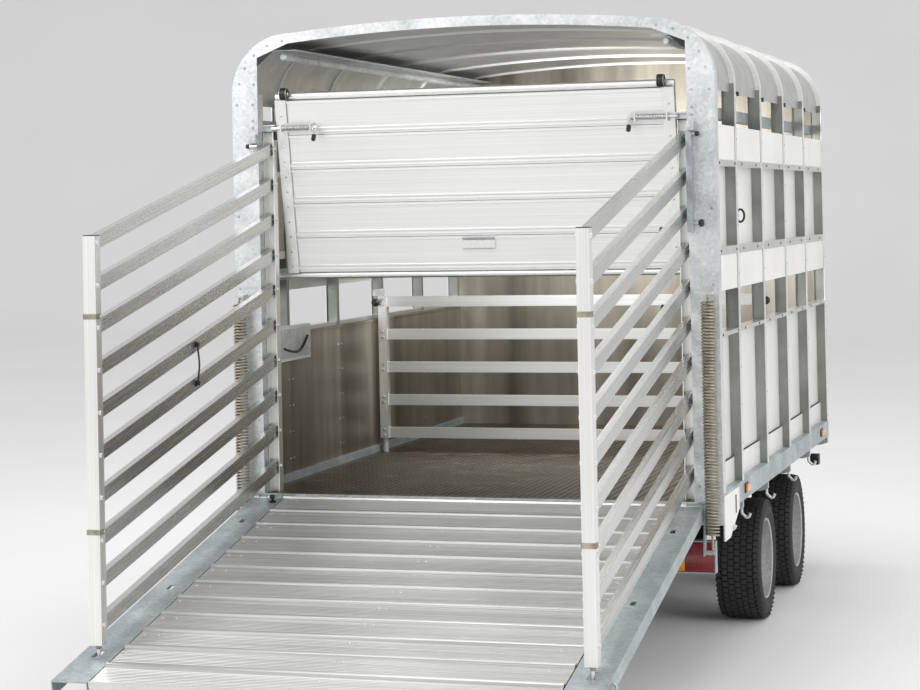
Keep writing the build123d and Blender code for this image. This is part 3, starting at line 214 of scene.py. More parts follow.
# %% Hot-dip galvanised steel
CRYSTALS = 90.0    # spangle cells in a metre, so each is 11 mm wide


def galvanised(name, pale, middle, dark, rough):
    """Flat zinc crystals, each with its own grey and gloss, on metal that clouds over a hand's width."""
    material, tree, shader, place = finish(name, Metallic=0.6)
    spangle = add(tree, "ShaderNodeTexVoronoi", {"Scale": CRYSTALS}, {"Vector": place})
    cloud = add(tree, "ShaderNodeTexNoise", {"Scale": 7.0, "Detail": 5.0}, {"Vector": place})
    grey = add(tree, "ShaderNodeSeparateColor", links={"Color": spangle.outputs["Color"]})
    both = add(tree, "ShaderNodeMath", {"operation": "MULTIPLY_ADD", 1: 0.25},
               {0: grey.outputs["Red"], 2: cloud.outputs["Fac"]})
    dress(tree, shader, [(0.2, dark), (0.62, middle), (1.0, pale)], both.outputs["Value"],
          grey.outputs["Green"], (rough - 0.08, rough + 0.1), (grey.outputs["Blue"], 0.12, 0.0006))
    return material


zinc = galvanised("hot_dip_galvanised_steel", "#f0f1f1", "#d3d6d7", "#a9afb1", 0.42)
dull_zinc = galvanised("weathered_galvanised_steel", "#c9cfd0", "#aab3b5", "#8a9496", 0.45)
print("zinc cells:", round(1000 / CRYSTALS, 1), "mm")

# %% [markdown]
# Mill-finish aluminium comes straight out of the extrusion press. The die leaves fine lines along the bar,
# which smear reflections across it. Noise that is stretched along the bar, fine across it, gives both the
# lines in the gloss and a faint relief. Real lines are 0.2 mm apart, too fine to show, so they are drawn
# 2.4 mm apart. A texture mapping turns before it scales, so the lines can follow a sloping bar.


# %% Mill-finish aluminium, drawn along one axis
DIE_LINE, LINE_RUN = 0.0024, 1.2    # metres across and along a die line


def extruded(name, run, tilt=0.0, pale="#dededc", dark="#c3c3c0", rough=0.3):
    """Die lines along the run ("x", "y" or "z"); tilt turns them about X, as on a sloping bar."""
    material, tree, shader, place = finish(name, Metallic=0.95)
    reach = [LINE_RUN if axis == run else DIE_LINE for axis in "xyz"]
    drawn = add(tree, "ShaderNodeMapping",
                {"vector_type": "TEXTURE", "Rotation": (tilt, 0, 0), "Scale": reach}, {"Vector": place})
    lines = add(tree, "ShaderNodeTexNoise", {"Scale": 1.0, "Detail": 3.0},
                {"Vector": drawn.outputs["Vector"]}).outputs["Fac"]
    cloud = add(tree, "ShaderNodeTexNoise", {"Scale": 2.2, "Detail": 2.0}, {"Vector": place})
    both = add(tree, "ShaderNodeMath", {"operation": "MULTIPLY_ADD", 1: 0.25},
               {0: cloud.outputs["Fac"], 2: lines})
    dress(tree, shader, [(0.45, dark), (0.8, pale)], both.outputs["Value"],
          lines, (rough - 0.08, rough + 0.14), (lines, 0.12, 0.0003))
    return material


SLOPE = math.radians(11.2)    # of the lowered ramp and its gates
across_aluminium = extruded("mill_aluminium_across", "x", pale="#fbfbf9", dark="#ededeb", rough=0.4)
worn_aluminium = extruded("worn_ramp_aluminium", "x", pale="#d6d6d4", dark="#b1b1af")
upright_aluminium = extruded("mill_aluminium_upright", "z", pale="#f8f8f6", dark="#e8e8e5", rough=0.34)
long_aluminium = extruded("mill_aluminium_lengthwise", "y", pale="#e4e4e2", dark="#cacac7")
bar_aluminium = extruded("mill_aluminium_on_the_slope", "y", tilt=SLOPE, rough=0.24)
print("aluminium lines every", DIE_LINE * 1000, "mm")

# %% [markdown]
# The wall posts are bare aluminium. The flange outside shows the metal's own finish, and the flanks behind it
# carry painted shade, a darker grey. The outer faces are those farthest from the middle of the trailer, so X tells
# them apart.

# %% Posts with painted shade on their flanks
FLANGE = 0.9722    # metres from the middle to the inside of the post's flange


def on_flange(tree, place):
    """1 on the outer face of a post; 0 on its flanks, which take painted shade."""
    apart = add(tree, "ShaderNodeSeparateXYZ", {}, {0: place})
    reach = add(tree, "ShaderNodeMath", {"operation": "ABSOLUTE"}, {0: apart.outputs["X"]})
    return add(tree, "ShaderNodeMath", {"operation": "GREATER_THAN", 1: FLANGE},
               {0: reach.outputs["Value"]}).outputs["Value"]


# the darker greys below are painted shade on the flanks that turn away from the lamps
post_aluminium = partly(upright_aluminium, "weathered_post_aluminium", on_flange,
                        [(0.3, "#878984"), (0.7, "#a6a8a2")], {"Scale": 6.0, "Detail": 4.0})
print("posts:", post_aluminium.name)

# %% [markdown]
# The lining inside the body is rolled aluminium sheet that has dulled to a brown grey, with broad upright
# streaks where it was rolled and washed. The floor is the same metal, pressed with a tread and dirtier.

# %% Dulled sheet and tread plate
lining, tree, shader, place = finish("dulled_aluminium_sheet", Metallic=0.8)
streaked = add(tree, "ShaderNodeMapping", {"Scale": (7.0, 7.0, 0.7)}, {"Vector": place})
bands = add(tree, "ShaderNodeTexNoise", {"Scale": 1.0, "Detail": 4.0},
            {"Vector": streaked.outputs["Vector"]}).outputs["Fac"]
dress(tree, shader, [(0.3, "#6f6a60"), (0.55, "#958f83"), (0.75, "#b7b2a6")], bands, bands, (0.28, 0.5))

tread, tree, shader, place = finish("aluminium_tread_plate", Metallic=0.8)
soil = add(tree, "ShaderNodeTexNoise", {"Scale": 9.0, "Detail": 6.0}, {"Vector": place}).outputs["Fac"]
dress(tree, shader, [(0.3, "#3d382f"), (0.55, "#585146"), (0.75, "#7c7568")], soil, soil, (0.3, 0.5))
print("sheet finishes:", lining.name, tread.name)

# %% [markdown]
# The panels are sheet that was painted white in the coil, before it was cut. Coil paint is satin, with a
# faint orange peel about 4 mm wide. Only the outside is painted. A wall face that looks away from the
# body's middle line is outside, and the front sheet's outer face is the one at the larger Y.

# %% White sheet, painted on one side
WHITES, CLOUDY = [(0.3, "#e3e2de"), (0.7, "#efeeea")], {"Scale": 2.5, "Detail": 4.0}
EYE_LEVEL = 1.9    # height of the body's middle line, from which the walls and roof look away
FRONT_SHEET = REAR + 3.1    # metres, inside the front sheet's thickness

white, tree, shader, place = finish("pre_painted_white_sheet", Coat_Weight=0.15, Coat_Roughness=0.25)
haze = add(tree, "ShaderNodeTexNoise", CLOUDY, {"Vector": place}).outputs["Fac"]
peel = add(tree, "ShaderNodeTexNoise", {"Scale": 260.0, "Detail": 2.0}, {"Vector": place}).outputs["Fac"]
dress(tree, shader, WHITES, haze, haze, (0.3, 0.42), (peel, 0.06, 0.0004))


def looks_out(tree, place):
    """1 on a face that looks away from the body's middle line."""
    flat = add(tree, "ShaderNodeVectorMath", {"operation": "MULTIPLY", 1: (1, 0, 1)}, {0: place})
    outward = add(tree, "ShaderNodeVectorMath", {"operation": "SUBTRACT", 1: (0, 0, EYE_LEVEL)},
                  {0: flat.outputs["Vector"]})
    facing = add(tree, "ShaderNodeVectorMath", {"operation": "DOT_PRODUCT"}, {
        0: add(tree, "ShaderNodeNewGeometry").outputs["True Normal"], 1: outward.outputs["Vector"]})
    return add(tree, "ShaderNodeMath", {"operation": "GREATER_THAN", 1: 0.0},
               {0: facing.outputs["Value"]}).outputs["Value"]


def behind_front_sheet(tree, place):
    """1 on the face of the front sheet that the animals see."""
    apart = add(tree, "ShaderNodeSeparateXYZ", {}, {0: place})
    return add(tree, "ShaderNodeMath", {"operation": "LESS_THAN", 1: FRONT_SHEET},
               {0: apart.outputs["Y"]}).outputs["Value"]


skin = partly(white, "sheet_painted_outside", looks_out, [(0.3, "#8d8c86"), (0.7, "#a9a8a2")],
              {"Scale": 5.0, "Detail": 3.0}, (0.7, 0.0))
front_sheet = partly(lining, "front_sheet_painted_outside", behind_front_sheet, WHITES, CLOUDY, (0.0, 0.8))
print("painted finishes:", white.name, skin.name, front_sheet.name)

# %% [markdown]
# Small parts bring the remaining finishes: yellow-passivated zinc on springs and clamps, moulded rubber,
# silver enamel on the wheels, black enamel on the leaf springs, plain roof sheet and coloured lamp lenses.


# %% Small-part finishes
def mottled(name, colours, metal, rough, grain, relief=0.1, **sockets):
    """A finish whose colour and gloss wander a little; grain is the size of its patches in millimetres."""
    material, tree, shader, place = finish(name, Metallic=metal, **sockets)
    patch = add(tree, "ShaderNodeTexNoise", {"Scale": 1000.0 / grain, "Detail": 4.0},
                {"Vector": place}).outputs["Fac"]
    dress(tree, shader, [(0.3, colours[0]), (0.7, colours[1])], patch,
          patch, (rough - 0.07, rough + 0.07), (patch, relief, grain / 20000))
    return material


passivated = mottled("yellow_passivated_zinc", ("#8a8470", "#bab5a3"), 0.9, 0.38, 30.0)
rubber = mottled("moulded_tyre_rubber", ("#1f1f1f", "#363635"), 0.0, 0.72, 6.0, 0.3)
plastic = mottled("black_moulded_plastic", ("#141414", "#222222"), 0.0, 0.42, 3.0)
enamel = mottled("silver_enamel", ("#a9a9a9", "#c4c4c3"), 0.6, 0.34, 12.0)
black_enamel = mottled("black_enamel", ("#1a1a1a", "#2c2b2a"), 0.0, 0.45, 14.0)
bright = mottled("bright_zinc_plated_steel", ("#c9cbcc", "#e9eaea"), 0.95, 0.22, 18.0)
red_lens = mottled("red_acrylic_lens", ("#6d0f0b", "#8f1712"), 0.0, 0.16, 8.0, Coat_Weight=0.5)
amber_lens = mottled("amber_acrylic_lens", ("#d97a10", "#f3a126"), 0.0, 0.18, 8.0, Coat_Weight=0.5)
roof_metal = mottled("plain_aluminium_roof_sheet", ("#b4b5b3", "#c8c9c7"), 0.7, 0.4, 80.0)
print("small finishes:", 9)

# %% [markdown]
# Each CAD part that already has the right shape keeps it and only gets its finish.

# %% Finishes on the CAD parts
gate_bars = [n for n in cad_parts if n.startswith("gate_bars_")]
wheels = [f"{end}_{side}" for end in ("rear", "front") for side in ("left", "right")]
choices = {
    zinc: ["portal_frame", "portal_brackets", "rope_hooks", "division_pivots", "coupling_head"],
    dull_zinc: ["lamp_frames", "side_rails", "chassis_frame", "axle_beams", "left_gate_rail",
                "right_gate_rail", "drawbar", "deck_rails", "hinge_tube", "jockey_stem"],
    across_aluminium: ["ramp_planks", "upper_gate_planks", "division_gate", "roof_bows"],
    post_aluminium: ["side_posts"],
    upright_aluminium: ["left_hinge_post", "right_hinge_post", "left_end_post", "right_end_post",
                        "upper_gate_frame"],
    long_aluminium: ["wall_rails", "ramp_frame"],
    bar_aluminium: gate_bars,
    bright: ["left_upper_bolt", "right_upper_bolt"],
    skin: ["wall_panels"],
    roof_metal: ["roof_skin"],
    white: ["left_upper_flaps", "right_upper_flaps", "left_lower_flaps", "right_lower_flaps"],
    front_sheet: ["front_bulkhead"],
    tread: ["floor_plate"],
    rubber: [*[f"{w}_tyre" for w in wheels], "jockey_wheel"],
    enamel: [f"{w}_rim" for w in wheels],
    red_lens: ["lamps"],
    passivated: ["ramp_springs"],
    black_enamel: ["leaf_springs", "handbrake_lever"],
}
for material, names in choices.items():
    for name in names:
        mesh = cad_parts[name].data
        for place in range(max(1, len(mesh.materials))):
            if mesh.materials:
                mesh.materials[place] = material
            else:
                mesh.materials.append(material)
left_out = set(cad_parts) - {n for names in choices.values() for n in names}
print("parts without a finish:", sorted(left_out))

# %% [markdown]
# ## Making pieces
# Most fittings are one of four shapes: a block with softened edges, a turned shape, a bent round bar, or a
# profile pulled along a line. One function for each makes a plain mesh, and a last one joins several
# meshes, gives them their finish and lets them ride with a body of the frame.


# %% Shape helpers
def block(low, high, soften=1.0):
    """A box between two corners, its edges rounded by soften in millimetres."""
    mesh = bmesh.new()
    bmesh.ops.create_cube(mesh, size=1.0)
    size, middle = high - low, (high + low) / 2
    for v in mesh.verts:
        v.co = Vector((v.co.x * size.x, v.co.y * size.y, v.co.z * size.z)) + middle
    limit = min(abs(s) for s in size) * 0.45
    if soften:
        bmesh.ops.bevel(mesh, geom=mesh.edges[:], offset=min(soften / 1000, limit), segments=2,
                        profile=0.7, affect="EDGES")
    bmesh.ops.recalc_face_normals(mesh, faces=mesh.faces)
    return mesh


def box_at(x, y, z, soften=1.0):
    """A softened box from pairs of distances off the portal and the floor."""
    return block(at(min(x), min(y), min(z)), at(max(x), max(y), max(z)), soften)


def frame_along(direction):
    """Two unit vectors square to a direction."""
    side = direction.cross(Vector((0, 0, 1)))
    if side.length < 1e-4:
        side = Vector((1, 0, 0))
    side.normalize()
    return side, direction.cross(side).normalized()


def turned(start, end, outline, steps=32):
    """A shape turned on the line from start to end; outline holds (millimetres along, radius) pairs."""
    mesh = bmesh.new()
    direction = (end - start).normalized()
    a, b = frame_along(direction)
    rings = []
    for along, radius in outline:
        centre = start + direction * (along / 1000)
        if radius == 0:
            rings.append([mesh.verts.new(centre)])
            continue
        rings.append([mesh.verts.new(centre + (a * math.cos(t) + b * math.sin(t)) * (radius / 1000))
                      for t in (2 * math.pi * i / steps for i in range(steps))])
    for one, two in zip(rings, rings[1:]):
        for i in range(steps):
            j = (i + 1) % steps
            corners = [one[i % len(one)], one[j % len(one)], two[j % len(two)], two[i % len(two)]]
            unique = list(dict.fromkeys(corners))
            if len(unique) > 2:
                mesh.faces.new(unique)
    bmesh.ops.recalc_face_normals(mesh, faces=mesh.faces)
    return mesh


def bar(start, end, radius, steps=20):
    """A round bar with slightly softened ends; radius in millimetres."""
    length = (end - start).length * 1000
    edge = min(radius * 0.3, length * 0.2)
    return turned(start, end, [(0, 0), (0, radius - edge), (edge, radius), (length - edge, radius),
                               (length, radius - edge), (length, 0)], steps)


def bent(points, radius, steps=12, smooth=True):
    """A round bar that follows a curve through points."""
    curve = bpy.data.curves.new("bent", "CURVE")
    curve.dimensions, curve.bevel_depth, curve.use_fill_caps = "3D", radius / 1000, True
    curve.bevel_resolution = max(1, steps // 4 - 1)
    spline = curve.splines.new("NURBS" if smooth else "POLY")
    spline.points.add(len(points) - 1)
    for point, target in zip(spline.points, points):
        point.co = (*target, 1)
    if smooth:
        spline.order_u, spline.use_endpoint_u, spline.resolution_u = 3, True, 8
    holder = bpy.data.objects.new("bent", curve)
    made = bpy.data.meshes.new_from_object(holder)
    mesh = bmesh.new()
    mesh.from_mesh(made)
    bpy.data.objects.remove(holder)
    bpy.data.meshes.remove(made)
    bmesh.ops.remove_doubles(mesh, verts=mesh.verts, dist=1e-5)
    bmesh.ops.recalc_face_normals(mesh, faces=mesh.faces)
    return mesh


def pulled(outline, start, end):
    """A closed outline of points, given at start, pulled straight to end."""
    mesh = bmesh.new()
    one = [mesh.verts.new(start + p) for p in outline]
    two = [mesh.verts.new(end + p) for p in outline]
    count = len(outline)
    for i in range(count):
        mesh.faces.new((one[i], one[(i + 1) % count], two[(i + 1) % count], two[i]))
    mesh.faces.new(one[::-1])
    mesh.faces.new(two)
    bmesh.ops.recalc_face_normals(mesh, faces=mesh.faces)
    return mesh


def piece(name, body, parts, smooth=40, stands_for=()):
    """Join (mesh, material) pairs into one object that rides with a body."""
    whole, materials = bmesh.new(), []
    for mesh, material in parts:
        if material not in materials:
            materials.append(material)
        for face in mesh.faces:
            face.material_index = materials.index(material)
        data = bpy.data.meshes.new("part")
        mesh.to_mesh(data)
        mesh.free()
        whole.from_mesh(data)
        bpy.data.meshes.remove(data)
    data = bpy.data.meshes.new(name)
    whole.to_mesh(data)
    whole.free()
    for material in materials:
        data.materials.append(material)
    return show(name, body, data, smooth, stands_for)


def show(name, body, data, smooth=40, stands_for=()):
    """Put a finished mesh in the scene, riding with a body."""
    made = bpy.data.objects.new(name, data)
    bpy.context.scene.collection.objects.link(made)
    for polygon in data.polygons:
        polygon.use_smooth = True
    data.set_sharp_from_angle(angle=math.radians(smooth))
    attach(made, body)
    if stands_for:
        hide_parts(*stands_for)
    return made


print("shape helpers ready")

# %% [markdown]
# Rivets, bolt heads, tread bars and plank profiles repeat. A Geometry Nodes tree sets a copy of a small
# shape on every point it is given, turned to face the way that point's stored direction says.


# %% A tree that sets a small shape on many points
def scatter_tree():
    tree = bpy.data.node_groups.new("set_on_points", "GeometryNodeTree")
    face = tree.interface
    face.new_socket("Points", in_out="INPUT", socket_type="NodeSocketGeometry")
    face.new_socket("Shape", in_out="INPUT", socket_type="NodeSocketObject")
    face.new_socket("Finish", in_out="INPUT", socket_type="NodeSocketMaterial")
    face.new_socket("Geometry", in_out="OUTPUT", socket_type="NodeSocketGeometry")
    given = add(tree, "NodeGroupInput")
    shape = add(tree, "GeometryNodeObjectInfo", links={"Object": given.outputs["Shape"]})
    aim = add(tree, "GeometryNodeInputNamedAttribute", {"data_type": "FLOAT_VECTOR", "Name": "aim"})
    spin = add(tree, "GeometryNodeInputNamedAttribute", {"data_type": "FLOAT", "Name": "spin"})
    turned_to = add(tree, "FunctionNodeAlignRotationToVector", {"axis": "Z"},
                    {"Vector": aim.outputs["Attribute"]})
    about = add(tree, "FunctionNodeAxisAngleToRotation", {"Axis": (0, 0, 1)},
                {"Angle": spin.outputs["Attribute"]})
    facing = add(tree, "FunctionNodeRotateRotation", {"rotation_space": "LOCAL"},
                 {"Rotation": turned_to.outputs["Rotation"], "Rotate By": about.outputs["Rotation"]})
    copies = add(tree, "GeometryNodeInstanceOnPoints", links={
        "Points": given.outputs["Points"], "Instance": shape.outputs["Geometry"],
        "Rotation": facing.outputs["Rotation"]})
    real = add(tree, "GeometryNodeRealizeInstances", links={"Geometry": copies.outputs["Instances"]})
    coat = add(tree, "GeometryNodeSetMaterial",
               links={"Geometry": real.outputs["Geometry"], "Material": given.outputs["Finish"]})
    add(tree, "NodeGroupOutput", links={"Geometry": coat.outputs["Geometry"]})
    return tree


scatter = scatter_tree()


def through_nodes(tree, start, **inputs):
    """The mesh that a tree makes from a starting mesh, as plain data."""
    holder = bpy.data.objects.new("holder", start)
    bpy.context.scene.collection.objects.link(holder)
    step = holder.modifiers.new("nodes", "NODES")
    step.node_group = tree
    for item in tree.interface.items_tree:
        if item.in_out == "INPUT" and item.name in inputs:
            step[item.identifier] = inputs[item.name]
    bpy.context.view_layer.update()
    data = bpy.data.meshes.new_from_object(holder.evaluated_get(bpy.context.evaluated_depsgraph_get()))
    holder.modifiers.remove(step)
    bpy.data.objects.remove(holder)
    return data


def repeat(name, body, spots, shape, material, smooth=40):
    """A copy of a shape on each (point, aim) or (point, aim, spin) spot, as one piece."""
    points = bpy.data.meshes.new("spots")
    points.from_pydata([s[0] for s in spots], [], [])
    # both attributes are made before either is looked up, because making one moves the others in memory
    points.attributes.new("aim", "FLOAT_VECTOR", "POINT")
    points.attributes.new("spin", "FLOAT", "POINT")
    aims, spins = points.attributes["aim"], points.attributes["spin"]
    for i, spot in enumerate(spots):
        aims.data[i].vector = spot[1]
        spins.data[i].value = spot[2] if len(spot) > 2 else 0.0
    data = bpy.data.meshes.new("shape")
    shape.to_mesh(data)
    shape.free()
    source = bpy.data.objects.new("shape", data)
    made = through_nodes(scatter, points, Shape=source, Finish=material)
    bpy.data.objects.remove(source)
    made.name = name
    return show(name, body, made, smooth)


def dome(radius, height):
    """A rivet or bolt head, drawn at the origin and facing +Z, in millimetres."""
    return turned(Vector((0, 0, -0.001)), Vector((0, 0, 1)),
                  [(0, radius), (1, radius), (1 + height * 0.6, radius * 0.75), (1 + height, 0)], 10)


def hexagon(radius, height):
    """A bolt head with six sides on a thin washer."""
    return turned(Vector((0, 0, -0.001)), Vector((0, 0, 1)),
                  [(0, radius * 0.9), (1 + height * 0.85, radius * 0.9), (1 + height, radius * 0.7),
                   (1 + height, 0)], 6)


BACK, UP = Vector((0, -1, 0)), Vector((0, 0, 1))
print("scatter tree has", len(scatter.nodes), "nodes")

# %% [markdown]
# ## The loading ramp
# The deck is laid from wide aluminium planks that lap like clapboard. Each plank has fine grip grooves along
# its length and a raised nose at its upper edge for the animals' feet. One profile, pulled across the ramp,
# is repeated down the slope.

# %% Ramp planks
hinge = at(0, -20, -17)
down_ramp = Vector((0, -math.cos(SLOPE), -math.sin(SLOPE)))
off_ramp = Vector((0, -math.sin(SLOPE), math.cos(SLOPE)))
PLANKS, RAMP = 12, 1930.0
pitch = RAMP / PLANKS
half_deck = Vector((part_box("ramp_planks")[1].x, 0, 0))

profile = [(2.0, 0.2), (2.0, 14.5), (5.0, 17.0), (18.0, 17.2), (22.0, 15.5), (25.0, 9.0), (31.0, 8.0)]
GROOVE_STEP = 12.0    # millimetres from one grip groove to the next
distance = 38.0
while distance < pitch - GROOVE_STEP:
    profile += [(distance, 8.0), (distance + 1.6, 6.7), (distance + 3.4, 6.7), (distance + 5.0, 8.0)]
    distance += GROOVE_STEP
profile += [(pitch - 4.0, 7.8), (pitch - 3.0, 6.5), (pitch - 3.0, 0.2)]


def ramp_point(x, s, h):
    """A place on the ramp: x across, s down it from the hinge and h above the hinge line."""
    return hinge + Vector((x / 1000, 0, 0)) + down_ramp * (s / 1000) + off_ramp * (h / 1000)


parts = []
for i in range(PLANKS):
    start = i * pitch
    outline = [ramp_point(0, start + max(s, 20.0 if i == 0 else 0), h) - hinge for s, h in profile]
    parts.append((pulled(outline, hinge - half_deck, hinge + half_deck), worn_aluminium))
piece("deck_planks", "ramp", parts, smooth=25, stands_for=["ramp_planks"])
print("planks:", PLANKS, "at", round(pitch, 1), "mm")

# %% [markdown]
# A row of blind rivets fixes each plank to the three beams under it.

# %% Ramp rivets
spots = []
for i in range(PLANKS):
    for x in (-752, -700, -15, 15, 700, 752):
        spots.append((ramp_point(x, (i + 0.3) * pitch + 8, 8), off_ramp))
repeat("deck_rivets", "ramp", spots, dome(4.5, 2.0), bright)
print("ramp rivets:", len(spots))

# %% [markdown]
# ## The tread plate
# Tread plate has short raised bars that point two ways in turn, so that a foot grips in any direction. One
# bar is a low roof shape of a few faces, because there are thousands of them.

# %% Raised bars of the tread plate
floor_low, floor_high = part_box("floor_plate")
roof_shape = bmesh.new()
corners = [(-0.011, 0, 0), (0, -0.0035, 0), (0.011, 0, 0), (0, 0.0035, 0),
           (-0.004, 0, 0.0018), (0.004, 0, 0.0018)]    # 22 mm long, 7 mm wide and 1.8 mm high
v = [roof_shape.verts.new(c) for c in corners]
for face in ((0, 1, 4), (1, 5, 4), (1, 2, 5), (2, 3, 5), (3, 4, 5), (3, 0, 4)):
    roof_shape.faces.new([v[i] for i in face])
spots, STEP = [], 0.029
columns = int((floor_high.x - floor_low.x - 0.09) / STEP)
rows = int((floor_high.y - REAR - 0.06) / STEP)
for i in range(columns):
    for j in range(rows):
        spot = Vector((floor_low.x + 0.045 + STEP * (i + 0.5), REAR + 0.04 + STEP * (j + 0.5),
                       floor_high.z))
        spots.append((spot, UP, math.pi / 4 if (i + j) % 2 else -math.pi / 4))
repeat("tread_bars", "trailer", spots, roof_shape, tread, smooth=10)
print("tread bars:", len(spots))

# %% [markdown]
# ## Coil springs
# A long coil spring hangs on each side of the portal and carries most of the ramp's weight. The coil is a
# helix, a curve that follows a rule, so Geometry Nodes draws it: a spiral with no change of radius, given
# the wire's thickness. Its ends are drawn out to hooks.


# %% A tree that winds a coil
def coil_tree():
    tree = bpy.data.node_groups.new("wind_a_coil", "GeometryNodeTree")
    face = tree.interface
    for label in ("Turns", "Radius", "Length", "Wire"):
        face.new_socket(label, in_out="INPUT", socket_type="NodeSocketFloat")
    face.new_socket("Finish", in_out="INPUT", socket_type="NodeSocketMaterial")
    face.new_socket("Geometry", in_out="OUTPUT", socket_type="NodeSocketGeometry")
    given = add(tree, "NodeGroupInput")
    spiral = add(tree, "GeometryNodeCurveSpiral", {"Resolution": 20}, {
        "Rotations": given.outputs["Turns"], "Start Radius": given.outputs["Radius"],
        "End Radius": given.outputs["Radius"], "Height": given.outputs["Length"]})
    wire = add(tree, "GeometryNodeCurvePrimitiveCircle", {"Resolution": 7}, {"Radius": given.outputs["Wire"]})
    swept = add(tree, "GeometryNodeCurveToMesh", {"Fill Caps": True},
                {"Curve": spiral.outputs["Curve"], "Profile Curve": wire.outputs["Curve"]})
    real = add(tree, "GeometryNodeRealizeInstances", links={"Geometry": swept.outputs["Mesh"]})
    coat = add(tree, "GeometryNodeSetMaterial",
               links={"Geometry": real.outputs["Geometry"], "Material": given.outputs["Finish"]})
    add(tree, "NodeGroupOutput", links={"Geometry": coat.outputs["Geometry"]})
    return tree


winder = coil_tree()
print("coil tree has", len(winder.nodes), "nodes")

# %% [markdown]
# The spring's anchor is its top hook on the portal. When the ramp closes, the coil draws together towards it.

# %% The two lift springs
TURNS, SPRING_X, SPRING_Y = 72, 940, -50
foot_z, top_z = -119, 764
TOP_HOOK = ((-22, 757), (-8, 766), (0, 774), (0, 785), (0, 790))
FOOT_HOOK = ((-22, -114), (-8, -122), (0, -134), (-2, -160), (-2, -172))
for label, side in (("left", -1), ("right", 1)):
    x = side * SPRING_X
    coil = through_nodes(winder, bpy.data.meshes.new("empty"), Turns=float(TURNS), Radius=0.0235,
                         Length=(top_z - foot_z - 8) / 1000, Wire=0.0040, Finish=passivated)
    coil.transform(Matrix.Translation(at(x, SPRING_Y, foot_z + 4)))
    wound = bmesh.new()
    wound.from_mesh(coil)
    hooks = [bent([at(x, SPRING_Y + dy, z) for dy, z in line], 4.2) for line in (TOP_HOOK, FOOT_HOOK)]
    spring = piece(f"{label}_coil_spring", "trailer", [(mesh, passivated) for mesh in (wound, *hooks)],
                   smooth=60)
    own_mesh(spring)
    if side > 0:
        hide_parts("ramp_springs")
print("coil turns:", TURNS)

# %% [markdown]
# ## The upper tailgate
# The upper tailgate leans in the doorway on a rod through its lower edge. Black rollers sit on its top
# corners, a riveted strip closes each end, and a spring bolt at each side holds it to the portal.

# %% Upper tailgate fittings
LEAN = math.atan2(134.0, 728.0)
out_of_gate = Vector((0, -math.cos(LEAN), -math.sin(LEAN)))


def gate_point(x, s, n):
    """A place on the tailgate: x across, s up it from its lower edge and n out of its middle plane."""
    return at(x, 200 - s * math.sin(LEAN) - n * math.cos(LEAN), 867 + s * math.cos(LEAN) - n * math.sin(LEAN))


def gate_box(x, s, n, soften=1.0):
    """A softened box that leans with the tailgate."""
    mesh = block(Vector((x[0], s[0], n[0])) / 1000, Vector((x[1], s[1], n[1])) / 1000, soften)
    for v in mesh.verts:
        v.co = gate_point(v.co.x * 1000, v.co.y * 1000, v.co.z * 1000)
    bmesh.ops.recalc_face_normals(mesh, faces=mesh.faces)
    return mesh


ROLLER = [(0, 9), (0, 22), (3, 25), (27, 25), (30, 22), (30, 9), (27, 7), (3, 7), (0, 9)]
ROLLER_S, ROLLER_N = 750.2, 32
parts = []
for side in (-1, 1):
    parts.append((turned(gate_point(side * 749, ROLLER_S, ROLLER_N),
                         gate_point(side * 779, ROLLER_S, ROLLER_N), ROLLER), plastic))
    parts.append((bar(gate_point(side * 746, ROLLER_S, ROLLER_N),
                      gate_point(side * 782, ROLLER_S, ROLLER_N), 7), bright))
for s, n in (((106, 150), (20.2, 22.2)), ((148, 151), (20.2, 36)), ((104, 107), (20.2, 30))):
    parts.append((gate_box((-65, 65), s, n, 0.6), dull_zinc))    # the hand plate and its lips
piece("tailgate_fittings", "upper_gate", parts)

# Each of the five planks has two rounded ribs beside its joint and one under its upper edge.
PLANK_FOOT, PLANK_PITCH, INSIDE_STRIPS = 16, 140.8, (-763, 763)
parts = []
for k in range(5):
    foot = PLANK_FOOT + PLANK_PITCH * k
    for s, high in ((9, 21.5), (23, 21.0), (128, 20.5)):
        parts.append((gate_box(INSIDE_STRIPS, (foot + s, foot + s + 7), (14.5, high), 2.5),
                      across_aluminium))
    if k:
        # a thin black strip at each joint between planks is painted shade in the gap, not a part of the gate
        parts.append((gate_box(INSIDE_STRIPS, (foot - 1.2, foot + 1.2), (14.5, 15.3), 0), black_enamel))
piece("tailgate_ribs", "upper_gate", parts)

spots = [(gate_point(side * 787, s, 24), out_of_gate) for side in (-1, 1) for s in range(40, 720, 62)]
repeat("tailgate_rivets", "upper_gate", spots, dome(5.0, 2.4), bright)
print("tailgate rivets:", len(spots))

# %% [markdown]
# A light spring round each bolt pushes it into the portal. The bolt itself is CAD, and slides, so the spring
# rides with the tailgate and the grip rides with the bolt.

# %% Bolt springs and rubber grips
BOLT_S, BOLT_N = 603.0 / math.cos(LEAN), 39.0
for label, side in (("left", -1), ("right", 1)):
    coil = through_nodes(winder, bpy.data.meshes.new("empty"), Turns=19.0, Radius=0.0112, Length=0.114,
                         Wire=0.0016, Finish=bright)
    coil.transform(Matrix.Translation(gate_point(side * 664, BOLT_S, BOLT_N))
                   @ Matrix.Rotation(side * math.pi / 2, 4, "Y"))
    show(f"{label}_bolt_spring", "upper_gate", coil, 60)
    centre = gate_point(0, BOLT_S, BOLT_N)
    handle = Vector((side * 0.638, centre.y, centre.z))
    sleeve = bar(handle - Vector((0, 0.0196, 0.0302)), handle - Vector((0, 0.034, 0.0535)), 8.8)
    nut = turned(Vector((side * 0.646, centre.y, centre.z)), Vector((side * 0.653, centre.y, centre.z)),
                 [(0, 0), (0, 13), (6, 13), (6, 0)], 6)
    piece(f"{label}_bolt_grip", f"{label}_upper_bolt", [(sleeve, plastic), (nut, bright)])
print("bolt springs:", 2)

